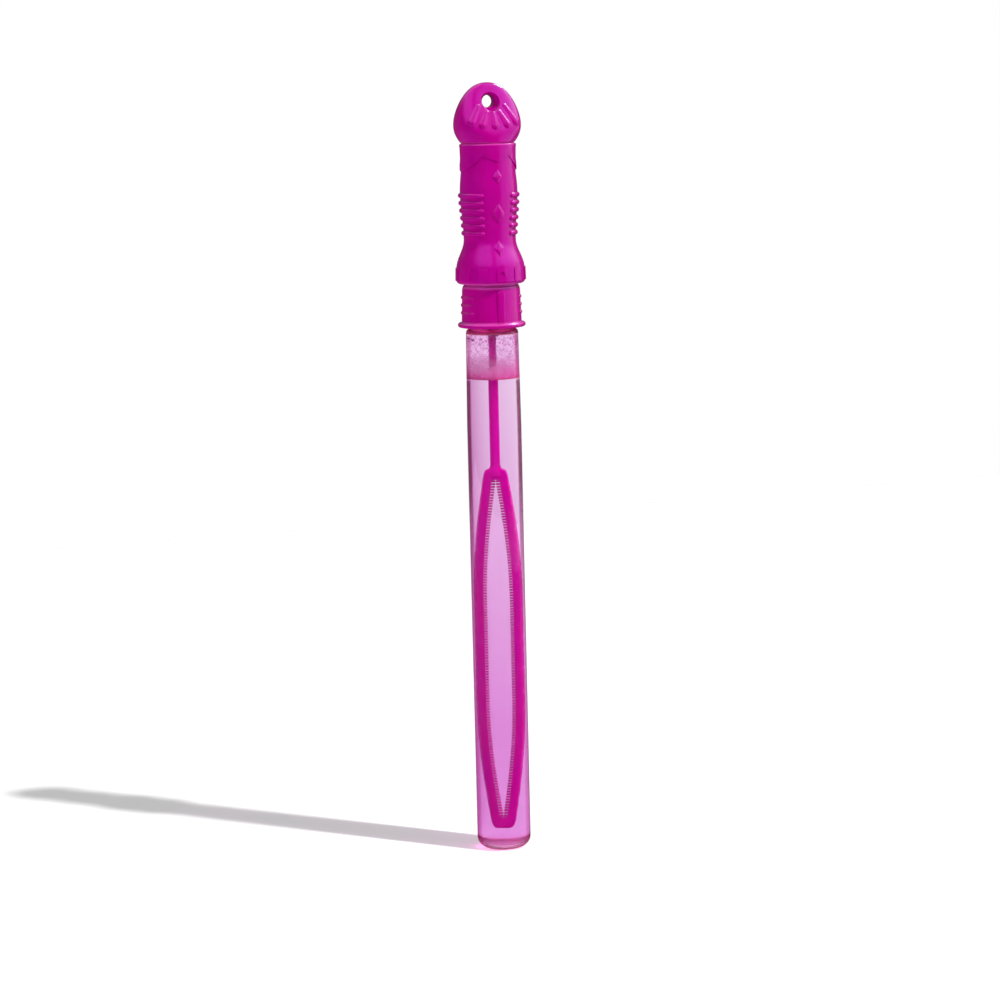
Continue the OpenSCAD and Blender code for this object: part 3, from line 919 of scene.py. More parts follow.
@dataclass
class Studio:
    """White sweep, lamps and the camera at the photograph's place."""

    lens: float = 107.57
    azimuth: float = 19.5
    distance: float = 1.424
    height: float = 0.384
    pitch: float = 8.5
    roll: float = 1.37
    side_step: float = 0.0019
    key: float = 2.85
    fill: float = 7.0
    side: float = 1.2
    card: float = 2.3
    spark: float = 16.0
    ambient: float = 0.23
    dim: float = 0.06
    above: float = 2.7
    # Pinker colour of the surroundings to the right, seen through clear parts: painted shade.
    painted_through_shade: Colour = (0.70, 0.36, 0.62)
    sweep: float = 2.0
    key_angle: float = 2.2
    key_place: Place = (0.258, 0.136, 0.37)
    aim_high: float = 0.18

    def view_axes(self) -> tuple[Vector, Vector]:
        """Level directions into the picture and to its right."""
        a = math.radians(self.azimuth)
        return Vector((math.sin(a), math.cos(a), 0)), Vector((math.cos(a), -math.sin(a), 0))

    def camera(self) -> None:
        """Sets the camera up."""
        into, right = self.view_axes()
        data = bpy.data.cameras.new("camera")
        data.sensor_width = 36
        data.lens = self.lens
        data.clip_start = 0.01
        camera = bpy.data.objects.new("camera", data)
        bpy.context.scene.collection.objects.link(camera)
        place = into * -self.distance + Vector((0, 0, self.height)) + right * self.side_step
        turn = Matrix.Rotation(math.radians(-self.azimuth), 4, "Z")
        tilt = Matrix.Rotation(math.radians(90 - self.pitch), 4, "X")
        roll = Matrix.Rotation(math.radians(-self.roll), 4, "Z")
        camera.matrix_world = Matrix.Translation(place) @ (turn @ tilt) @ roll
        bpy.context.scene.camera = camera

    def lamp(
        self, name: str, right: float, near: float, up: float, size: Flat, power: float
    ) -> Piece:
        """Adds a flat lamp aimed at the middle of the object.

        Args:
            name: Name of the lamp.
            right: Distance to the right of the object, seen from the camera, in metres.
            near: Distance towards the camera, in metres.
            up: Height in metres.
            size: Width and height in metres.
            power: Power in watts.

        Returns:
            The lamp.
        """
        into, across = self.view_axes()
        place = across * right - into * near + Vector((0, 0, up))
        data = bpy.data.lights.new(name, "AREA")
        data.shape = "RECTANGLE"
        data.size, data.size_y = size
        data.energy = power
        lamp = bpy.data.objects.new(name, data)
        bpy.context.scene.collection.objects.link(lamp)
        lamp.location = place
        aim = Vector((0, 0, min(up, self.aim_high)))
        lamp.rotation_euler = (aim - place).to_track_quat("-Z", "Y").to_euler()
        return lamp

    def lamps(self) -> None:
        """Sets up a key lamp high at the right, and softboxes at the left and right."""
        into, across = self.view_axes()
        data = bpy.data.lights.new("key_lamp", "SUN")
        data.energy = self.key
        data.angle = math.radians(self.key_angle)
        key = bpy.data.objects.new("key_lamp", data)
        bpy.context.scene.collection.objects.link(key)
        right, near, up = self.key_place
        towards = across * right - into * near + Vector((0, 0, up))
        key.rotation_euler = (-towards).to_track_quat("-Z", "Y").to_euler()
        key.visible_glossy = False
        for box in (
            self.lamp("left_box", -1.0, 0.9, 0.85, (0.9, 0.9), self.fill),
            self.lamp("right_box", 1.2, 0.1, 0.5, (0.6, 0.6), self.side)
        ):
            box.visible_glossy = False
        for card in (
            self.lamp("right_card", 0.5, 0.04, 0.36, (0.7, 0.7), self.card),
            self.lamp("top_card", 0.52, -0.5, 1.05, (0.3, 0.3), self.spark)
        ):
            card.visible_camera = card.visible_diffuse = card.visible_transmission = False

    def world(self) -> None:
        """Makes the surroundings white where they are seen, dimmer in gloss, a soft grey as light, and pinker
        to the right through clear parts as painted shade.
        """
        world = bpy.data.worlds.new("surroundings")
        world.use_nodes = True
        bpy.context.scene.world = world
        tree = world.node_tree
        tree.nodes.clear()

        def node(kind: str, operation: str, *values: object) -> bpy.types.Node:
            """Adds a node with an operation, and links or sets its inputs in order.

            Args:
                kind: Kind of node.
                operation: Its operation, or nothing.
                *values: Values or sockets for its inputs, in order.

            Returns:
                The node.
            """
            made = tree.nodes.new(f"ShaderNode{kind}")
            if operation:
                made.operation = operation
            for socket, value in zip(made.inputs, values):
                if isinstance(value, Socket):
                    tree.links.new(value, socket)
                else:
                    socket.default_value = value
            return made

        def step(operation: str, *values: object) -> Socket:
            """Works out one step with values or sockets."""
            return node("Math", operation, *values).outputs[0]

        def ramp(*values: object) -> Socket:
            """Maps a value from one range to another: the value, both ends, and both new ends."""
            return node("MapRange", "", *values).outputs[0]

        into, across = self.view_axes()
        rays = node("LightPath", "").outputs
        direction = node("TexCoord", "").outputs["Generated"]
        up = node("SeparateXYZ", "", direction).outputs["Z"]
        right = node("VectorMath", "DOT_PRODUCT", direction, tuple(across)).outputs["Value"]
        back = node("VectorMath", "DOT_PRODUCT", direction, tuple(into)).outputs["Value"]
        gap = step("ABSOLUTE", step("SUBTRACT", right, 0.2))
        gloss = ramp(up, 0.2, 0.45, 0.0, self.above)
        for share in (
            ramp(gap, 0.06, 0.16, 0.1, 1.0),
            ramp(right, -0.8, -0.55, 0.0, 1.0),
            ramp(back, 0.35, 0.75, 1.0, 0.1),
        ):
            gloss = step("MULTIPLY", gloss, share)
        level = ramp(rays["Is Glossy Ray"], 0.0, 1.0, self.ambient, step("ADD", gloss, self.dim))
        for seen in (rays["Is Camera Ray"], rays["Is Transmission Ray"]):
            level = step("MAXIMUM", level, seen)
        # Painted shade: seen through clear parts, the surroundings to the right turn pinker.
        pink = step("MULTIPLY", ramp(right, *PAINTED_SHADE_SPAN, 0.0, 1.0), rays["Is Transmission Ray"])
        colour = node("Mix", "")
        colour.data_type = "RGBA"
        tree.links.new(pink, colour.inputs[0])
        colour.inputs[6].default_value = (1, 1, 1, 1)
        colour.inputs[7].default_value = (*self.painted_through_shade, 1)
        background = node("Background", "", colour.outputs[2], level)
        node("OutputWorld", "", background.outputs[0])

    def floor(self) -> None:
        """Lays the white sweep."""
        Bench.clear()
        bpy.ops.mesh.primitive_plane_add(size=self.sweep, location=(0, 0, 0))
        floor = Bench.named("floor")
        floor.data.materials.append(
            PaleFloor("white_sweep", across=tuple(self.view_axes()[1]), painted_through_shade=self.painted_through_shade).make()
        )

    def build(self) -> None:
        """Builds the whole studio, and sets the plain view transform."""
        self.camera()
        self.world()
        self.lamps()
        self.floor()
        bpy.context.scene.view_settings.view_transform = "Standard"


# ---------------------------------------------------------------- the sub-assemblies


def mount(
    piece: Piece, material: Material, body: Body, slot: Slot, *nodes: str
) -> Piece:
    """Gives a finished piece its material and body, and hides the CAD nodes that it stands for.

    Args:
        piece: The finished piece.
        material: Its material.
        body: Body that it rides on.
        slot: Slot of the record that it takes its finish from. Not used.
        *nodes: CAD nodes that it replaces.

    Returns:
        The piece.
    """
    piece.data.materials.clear()
    piece.data.materials.append(material)
    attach(piece, body.value)
    if nodes:
        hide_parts(*nodes)
    log.info("%s: %d faces, rides on %s", piece.name, len(piece.data.polygons), body.value)
    return piece


@dataclass
class Vessel:
    """Clear tube with a hollow foot, a shoulder and a threaded neck."""

    r: float = 13.0
    wall: float = 1.2
    height: float = 254.4
    draw: float = 0.5
    draw_h: float = 45.0
    shoulder_r: float = 2.2
    foot_r: float = 5.4
    foot_ring: float = 1.0
    push_up: float = 1.4
    neck_r: float = 10.8
    neck_wall: float = 1.1
    neck_h: float = 14.6
    thread_out: float = 0.85
    thread_pitch: float = 3.0
    z_wet: float = 230.6
    shine: float = 0.12
    bore_shine: float = 0.1

    @property
    def z_shoulder(self) -> float:
        """Height at which the shoulder starts to round in."""
        return self.height - self.shoulder_r

    @property
    def z_floor(self) -> float:
        """Height of the inside of the foot."""
        return self.push_up + self.wall

    @property
    def z_draw(self) -> float:
        """Height at which the tube starts to draw in."""
        return self.z_shoulder - self.draw_h

    def outer_at(self, z: float) -> float:
        """Radius of the outside at a height."""
        return self.r - self.draw * min(1.0, max(0.0, (z - self.z_draw) / self.draw_h))

    def bore_at(self, z: float) -> float:
        """Radius of the bore at a height."""
        return self.outer_at(z) - self.wall

    def profile(self) -> list[Flat]:
        """Half profile of the tube: up the outside from the axis, and down the inside.

        Returns:
            The points, in millimetres.
        """
        top_r = self.r - self.draw
        foot_in = self.r - self.foot_r - self.foot_ring
        z_rim = self.height + self.neck_h
        half_wall = self.neck_wall / 2
        hollow = [(foot_in * t, self.push_up * (1 - ease(t ** 1.6))) for t in spread(0, 1, 9)]
        outside = hollow[:-1] + [(foot_in, 0.0)]
        outside += arc(self.r - self.foot_r, self.foot_r, self.foot_r, -90, 0, 14)
        outside += [(self.outer_at(z), z) for z in spread(12, self.z_draw, 16)]
        outside += [
            (self.outer_at(z), z) for z in spread(self.z_draw + 6, self.z_shoulder - 2, 6)
        ]
        outside += arc(top_r - self.shoulder_r, self.z_shoulder, self.shoulder_r, 0, 90, 8)
        outside += arc(self.neck_r + 0.3, self.height + 0.3, 0.3, 270, 180, 3)
        outside += arc(self.neck_r - half_wall, z_rim - half_wall, half_wall, 0, 180, 8)
        inner_foot = self.foot_r - self.wall
        bore_neck = self.neck_r - self.neck_wall
        inside = [(bore_neck, self.height - 0.6)]
        inside += arc(bore_neck + 0.6, self.height - 0.6 - self.wall * 0.4, 0.6, 180, 250, 3)
        inside += arc(top_r - self.wall - 1.0, self.z_shoulder - 0.6, 1.0, 80, 0, 6)
        inside += [
            (self.bore_at(z), z)
            for z in reversed(spread(self.z_draw + 6, self.z_shoulder - 2, 6))
        ]
        inside += [(self.bore_at(z), z) for z in reversed(spread(12, self.z_draw, 16))]
        inside += arc(self.r - self.wall - inner_foot, self.z_floor + inner_foot, inner_foot, 0, -90, 12)
        inside += [(0.0, self.z_floor)]
        return outside + inside

    def build(self) -> None:
        """Builds the tube and its thread as one piece."""
        tube = Bench.spun("clear_tube", self.profile(), 144)
        thread = Bench.lofted("neck_thread", thread_rings(
            self.neck_r - 0.25, self.neck_r + self.thread_out, self.height + 3.6, self.thread_pitch, 2.6, 0))
        Bench.cut(tube, thread, Cut.ADD)
        Bench.smoothed(tube, 40)
        outside = ClearWall("clear_wall", self.z_wet, self.z_shoulder, self.shine)
        mount(tube, outside.make(), Body.TUBE, Slot.TUBE, "tube")
        bore = ClearWall("wetted_bore", self.z_wet, self.z_shoulder, self.bore_shine)
        tube.data.materials.append(bore.make())
        for face in tube.data.polygons:
            x, y, z = face.center / MM
            inward = face.normal.x * x + face.normal.y * y < 0
            inward = inward or z < self.z_floor + 0.2 and face.normal.z > 0.5
            face.material_index = int(inward and z < self.z_shoulder and z > self.push_up + 0.2)


@dataclass
class Filling:
    """Pink solution with froth on it."""

    vessel: Vessel
    z_surface: float = 231.0
    z_froth: float = 252.0
    z_boss: float = 250.2
    boss_r: float = 2.95
    lap: float = 0.12
    stem_r: float = 1.8
    bubbles: int = 230
    seed: int = 11

    def solution(self) -> None:
        """Builds the column of solution, which wets the wall and climbs it a little."""
        v = self.vessel
        z0 = v.z_floor - self.lap
        inner_foot = v.foot_r - v.wall
        r = v.r - v.wall + self.lap
        points = [(0.0, z0)] + arc(r - inner_foot, z0 + inner_foot, inner_foot, -90, 0, 12)
        points += [(v.bore_at(z) + self.lap, z) for z in spread(12, self.z_surface, 24)]
        top_r = v.bore_at(self.z_surface) + self.lap
        points += [
            (top_r - 0.9 * (1 - math.cos(a)), self.z_surface - 0.5 * math.sin(a))
            for a in spread(0.3, math.pi / 2, 6)
        ]
        points += [(0.0, self.z_surface - 0.5)]
        column = Bench.spun("solution_column", points, 144)
        Bench.smoothed(column, 50)
        mount(column, PinkSolution("pink_solution").make(), Body.FILLING, Slot.SOLUTION, "bubble_solution")

    def froth(self) -> None:
        """Builds the bed of froth, with a lumpy top and a ragged foot."""
        v = self.vessel
        lap = 0.06
        rows = spread(self.z_surface - 0.45, self.z_froth - 0.8, 34)
        top = self.z_froth - 0.3
        points = [(self.stem_r + 0.02, rows[0]), (self.stem_r + 4, rows[0])]
        points += [(v.bore_at(z) + lap, z) for z in rows]
        points += [(x, top) for x in spread(v.bore_at(top) - 0.9, self.boss_r + 0.4, 14)]
        points += [(self.boss_r, top), (self.boss_r, self.z_boss), (self.stem_r + 0.02, self.z_boss - 0.4)]
        points += [(self.stem_r + 0.02, (self.z_surface + self.z_froth) / 2)]
        bed = Bench.spun("froth_bed", points, 120)
        dice = random.Random(self.seed)
        lumps = [
            (dice.uniform(0, math.tau), dice.uniform(4, 9.5), dice.uniform(1.0, 2.4), dice.uniform(0.2, 0.55))
            for _ in range(60)
        ]
        for vert in bed.data.vertices:
            x, y, z = vert.co / MM
            if z > top - 0.1 and self.boss_r + 0.2 < math.hypot(x, y) < v.bore_at(z) - 0.2:
                rise = max(
                    h * math.exp(-((x - r * math.cos(a)) ** 2 + (y - r * math.sin(a)) ** 2) / w ** 2)
                    for a, r, w, h in lumps
                )
                vert.co.z += rise * MM
        Bench.smoothed(bed, 60)
        mount(bed, PinkFroth("pink_froth", self.z_surface).make(), Body.FILLING, Slot.FROTH, "froth")

    def loose_bubbles(self) -> None:
        """Builds the larger bubbles that lie against the wall and on top of the froth."""
        v = self.vessel
        dice = random.Random(self.seed + 1)
        Bench.clear()
        bpy.ops.mesh.primitive_uv_sphere_add(
            segments=8, ring_count=6, radius=0.6 * MM, location=(6 * MM, 0, (self.z_froth - 0.8) * MM)
        )
        froth = Bench.applied(Bench.named("froth_bubbles"))
        bpy.ops.object.mode_set(mode="EDIT")
        for _ in range(self.bubbles):
            up = dice.random() ** 0.6
            r = 0.25 + 0.55 * up * dice.random()
            z = self.z_surface + 1.5 + (self.z_froth - self.z_surface - 3.2) * up
            angle = dice.uniform(0, math.tau)
            out = v.bore_at(z) - r * 0.85 if dice.random() < 0.8 else dice.uniform(3, 10)
            if out < 10.1:
                z = self.z_froth - 0.7
            place = (out * math.cos(angle) * MM, out * math.sin(angle) * MM, z * MM)
            bpy.ops.mesh.primitive_uv_sphere_add(segments=8, ring_count=6, radius=r * MM, location=place)
        Bench.tidy(froth, gap=0.0001)
        Bench.smoothed(froth, 180)
        mount(froth, BubbleSkin("bubble_skin").make(), Body.FILLING, Slot.FROTH)

    def build(self) -> None:
        """Builds the solution, the froth and its bubbles."""
        self.solution()
        self.froth()
        self.loose_bubbles()


@dataclass
class Washer:
    """Soft washer under the collar's disc."""

    r: float = 11.75
    bore: float = 3.05
    z: float = 269.2
    t: float = 1.6
    edge: float = 0.25

    def build(self) -> None:
        """Builds the washer with soft edges and the ring that the tube's rim has pressed in it."""
        e, top = self.edge, self.z + self.t
        points = arc(self.r - e, self.z + e, e, -90, 0, 4) + arc(self.r - e, top - e, e, 0, 90, 4)
        points += arc(self.bore + e, top - e, e, 90, 180, 4) + arc(self.bore + e, self.z + e, e, 180, 270, 4)
        points += [
            (9.6, self.z), (9.9, self.z + 0.08), (10.25, self.z + 0.12), (10.6, self.z + 0.08), (10.9, self.z)
        ]
        washer = Bench.spun("seal_washer_ring", points, 96)
        Bench.smoothed(washer, 50)
        mount(washer, WasherFoam("washer_foam").make(), Body.SEAL, Slot.SEAL, "seal_washer")


@dataclass
class Collar:
    """Screw collar with its flange, side ribs, upright bars, thread, boss and spigot."""

    bore: float = 12.0
    r: float = 13.9
    flare: float = 0.4
    flange_out: float = 1.9
    flange_t: float = 2.2
    z: float = 255.1
    z_disc: float = 270.8
    z_disc_top: float = 273.2
    crown_in: float = 1.0
    crown_h: float = 3.6
    z_ceiling: float = 279.7
    spigot_r: float = 10.47
    spigot_wall: float = 1.8
    spigot_h: float = 11.0
    boss_r: float = 2.8
    z_boss: float = 250.4
    socket_r: float = 1.83
    socket_h: float = 15.0
    rib_r: float = 0.8
    rib_out: float = 0.5
    rib_pitch: float = 3.7
    rib_free: float = 57.0
    bar_w: float = 3.8
    bar_out: float = 0.95

    @property
    def z_flange(self) -> float:
        """Height of the flange's top."""
        return self.z + self.flange_t

    def profile(self) -> list[Flat]:
        """Half profile: up the outside, and down the inside.

        Returns:
            The points, in millimetres.
        """
        half = self.flange_t / 2
        x = self.r + self.flare + self.flange_out - half
        points = arc(x, self.z + half, half, -90, 90, 12)
        points += arc(self.r + self.flare + 0.35, self.z_flange + 0.35, 0.35, 270, 180, 4)
        low, high = self.z_flange + 1.2, self.z_disc_top - self.crown_h / 2
        points += [(self.r + self.flare * (high - z) / (high - low), z) for z in spread(low, high, 10)]
        points += [
            (self.r - self.crown_in * (1 - math.cos(a)), high + self.crown_h * math.sin(a))
            for a in spread(0.15, math.pi / 2, 8)
        ]
        crown = self.r - self.crown_in
        points += [(crown, self.z_ceiling - 0.4)] + arc(crown - 0.4, self.z_ceiling - 0.4, 0.4, 20, 90, 4)
        points += [(self.spigot_r, self.z_ceiling)]
        z_top = self.z_ceiling + self.spigot_h
        points += arc(self.spigot_r - 0.5, z_top - 0.5, 0.5, 0, 90, 4)
        inner = self.spigot_r - self.spigot_wall
        points += [(inner, z_top), (inner, self.z_disc_top + 0.6)]
        points += arc(inner - 0.6, self.z_disc_top + 0.6, 0.6, 0, -90, 4)
        points += [(0.0, self.z_disc_top), (0.0, self.z_boss)]
        points += arc(self.boss_r - 0.3, self.z_boss + 0.3, 0.3, -90, 0, 4)
        points += [(self.boss_r, self.z_disc), (self.bore, self.z_disc), (self.bore, self.z + 0.5)]
        points += [(self.bore + 0.3, self.z)]
        return points

    def ribs(self) -> list[Piece]:
        """Builds the three ribs at each side, with round ends.

        Returns:
            The pieces.
        """
        made = []
        z_mid = (self.z_flange + self.z_disc_top) / 2 + 0.4
        for i in (-1, 0, 1):
            r = self.r + self.flare / 2 - self.flare / 4 * i - self.rib_r + self.rib_out
            z = z_mid + self.rib_pitch * i
            for side in (0, 180):
                made.append(side_rib(f"cap_rib_{i + 1}_{side}", r, z, self.rib_r, self.rib_free, side))
        return made

    def bars(self) -> list[Piece]:
        """Builds the upright bar with a round head at the front and at the back.

        Returns:
            The pieces.
        """
        half = self.bar_w / 2
        top = self.z_disc_top - half
        low = self.z_flange - self.flange_t / 4
        outline = [(-half, low), (half, low)] + arc(0, top, half, 0, 180, 16)
        front = Bench.slab("front_bar", outline, -self.r - self.bar_out, -self.bore - 0.95)
        Bench.rounded(front, 0.75, 4, 60)
        return [front, Bench.copied(front, 180)]

    def build(self) -> None:
        """Builds the collar as one piece."""
        collar = Bench.spun("screw_cap", self.profile(), 160)
        for tool in self.ribs() + self.bars():
            Bench.cut(collar, tool, Cut.ADD)
        thread = Bench.lofted("cap_thread", thread_rings(
            self.bore + 0.25, self.bore - 0.75, self.z + 4.4, 3.0, 2.2, 180))
        Bench.cut(collar, thread, Cut.ADD)
        socket = Bench.spun(
            "socket",
            [
                (0, self.z_boss - 1), (self.socket_r, self.z_boss - 1),
                (self.socket_r, self.z_boss + self.socket_h), (0, self.z_boss + self.socket_h)
            ],
            48
        )
        Bench.cut(collar, socket, Cut.TAKE)
        Bench.smoothed(collar, 32)
        # The bands in thin are painted light: a lighter line on the flange's edge, and a lighter band under
        # the grip's hem set against its shade.
        material = MouldedPlastic(
            "collar_magenta", (0.525, 0.0, 0.25), (0.505, 0.0, 0.27), thin=((257.3, 0.9), (274.8, 1.4))
        ).make()
        mount(collar, material, Body.CLOSURE, Slot.COLLAR, "screw_collar")


def side_rib(name: str, r: float, z: float, section: float, free: float, side: float) -> Piece:
    """Rib round one side of a turned part, with round ends.

    Args:
        name: Name of the new piece.
        r: Radius of its middle line, in millimetres.
        z: Its height, in millimetres.
        section: Radius of its section, in millimetres.
        free: Angle from the front without a rib, in degrees.
        side: 0 for the right side and 180 for the left, in degrees.

    Returns:
        The piece.
    """
    half = 90 - free
    reach = math.degrees(section / r)
    swing = [
        (math.radians(-half) - math.radians(reach) * math.cos(a), section * max(math.sin(a), 0.04))
        for a in spread(0, math.pi / 2, 6)
    ]
    swing += [(math.radians(a), section) for a in spread(-half + 3, half - 3, 26)]
    swing += [
        (math.radians(half) + math.radians(reach) * math.cos(a), section * max(math.sin(a), 0.04))
        for a in spread(math.pi / 2, 0, 6)
    ]
    turn = math.radians(side)
    path = [Vector((r * math.cos(a + turn), r * math.sin(a + turn), z)) * MM for a, _ in swing]
    return Bench.lofted(name, tube_rings(path, [s * MM for _, s in swing], 20))


@dataclass
class DippingLoop:
    """Stem and toothed loop, moulded in one and turned to one side of the grip's face."""

    z: float = 9.8
    h: float = 177.1
    w: float = 17.86
    end_w: float = 8.0
    t: float = 4.0
    limb: float = 3.2
    end_bar: float = 4.8
    tooth_l: float = 1.6
    tooth_t: float = 0.8
    tooth_depth: float = 1.9
    pitch: float = 1.33
    stem_r: float = 1.8
    z_stem_top: float = 265.4
    reach: float = 0.36
    turn: float = -20.0

    def half_at(self, share: float) -> float:
        """Half width of the loop at a share of its height."""
        grown = min(1.0, min(share, 1 - share) / self.reach)
        return self.end_w / 2 + (self.w - self.end_w) / 2 * math.sin(math.pi / 2 * grown)

    def root_at(self, z: float) -> float:
        """Half width of the window at a height, at the roots of the teeth."""
        return max(self.half_at((z - self.z) / self.h) - self.limb, self.tooth_l + 0.05)

    @property
    def teeth(self) -> int:
        """Number of teeth on a limb."""
        return math.floor((self.h - 2 * self.end_bar) / self.pitch)

    @property
    def z_first(self) -> float:
        """Height of the foot of the first tooth."""
        return self.z + (self.h - self.teeth * self.pitch) / 2

    def outline(self) -> list[Flat]:
        """Outside of the loop.

        Returns:
            The points, in millimetres.
        """
        top, corner, half = self.z + self.h, self.end_w / 4, self.end_w / 2
        shares = [i / 56 for i in range(1, 56)]
        points = arc(half - corner, self.z + corner, corner, -90, -20, 6)
        points += [(self.half_at(s), self.z + self.h * s) for s in shares]
        points += arc(half - corner, top - corner, corner, 20, 90, 6)
        points += arc(corner - half, top - corner, corner, 90, 160, 6)
        points += [(-self.half_at(s), self.z + self.h * s) for s in reversed(shares)]
        points += arc(corner - half, self.z + corner, corner, 200, 270, 6)
        return points

    def window(self) -> list[Flat]:
        """Inside of the loop, without its teeth.

        Returns:
            The points, in millimetres.
        """
        last = self.z_first + self.teeth * self.pitch
        rows = spread(self.z_first + 0.8, last - 0.8, 70)
        inner = [(self.root_at(z), z) for z in rows]
        low, high = inner[0][0], inner[-1][0]
        points = [(0.0, self.z_first - 0.2), (low * 0.7, self.z_first)] + inner
        points += [(high * 0.7, last), (0.0, last + 0.2), (-high * 0.7, last)]
        points += [(-x, z) for x, z in reversed(inner)] + [(-low * 0.7, self.z_first)]
        return points

    def tooth_row(self) -> Piece:
        """Builds one tooth with a round nose, and copies it up both limbs.

        Returns:
            The teeth, as one piece.
        """
        Bench.clear()
        z = self.z_first + self.pitch / 2
        inner = self.root_at(z)
        long = self.tooth_l + 0.4
        bpy.ops.mesh.primitive_cube_add(
            size=1, location=((inner + 0.4 - long / 2) * MM, 0, z * MM),
            scale=(long * MM, self.tooth_depth * MM, self.tooth_t * MM)
        )
        teeth = Bench.applied(Bench.named("loop_teeth"))
        Bench.rounded(teeth, 0.24, 2)
        bpy.ops.object.mode_set(mode="EDIT")
        bpy.ops.mesh.select_all(action="SELECT")
        for i in range(1, self.teeth):
            z += self.pitch
            there = self.root_at(z)
            bpy.ops.mesh.duplicate_move(
                TRANSFORM_OT_translate={"value": ((there - inner) * MM, 0, self.pitch * MM)}
            )
            inner = there
        bpy.ops.object.mode_set(mode="OBJECT")
        mirror = Bench.copied(teeth, 180)
        return Bench.joined("loop_teeth", [teeth, mirror])

    def build(self) -> None:
        """Builds the loop, its teeth and the stem, and turns them."""
        # The wand's colour is lighter than the grip's. This is painted light that makes up for the light the
        # tube and solution hold back.
        material = MouldedPlastic(
            "wand_magenta", (0.67, 0.0, 0.35), (0.64, 0.0, 0.38), roughness=0.24, level=0.1
        ).make()
        loop = Bench.slab("dipping_loop", self.outline(), -self.t / 2, self.t / 2)
        Bench.rounded(loop, 0.9, 4, 60)
        Bench.cut(loop, Bench.slab("window", self.window(), -self.t, self.t), Cut.TAKE)
        z_root = self.z + self.h - self.limb
        profile = [
            (0, z_root), (2.9, z_root), (2.6, z_root + self.limb * 0.9), (2.1, z_root + self.limb + 0.6),
            (self.stem_r, z_root + self.limb + 1.8)
        ]
        profile += [(self.stem_r, z) for z in spread(195, self.z_stem_top - 0.4, 12)]
        profile += [(self.stem_r - 0.4, self.z_stem_top), (0, self.z_stem_top)]
        stem = Bench.spun("stem", profile, 40)
        Bench.cut(loop, stem, Cut.ADD)
        Bench.turned(Bench.smoothed(loop, 35), self.turn)
        teeth = self.tooth_row()
        Bench.turned(Bench.smoothed(teeth, 35), self.turn)
        mount(loop, material, Body.CLOSURE, Slot.WAND, "wand")
        mount(teeth, material, Body.CLOSURE, Slot.WAND)


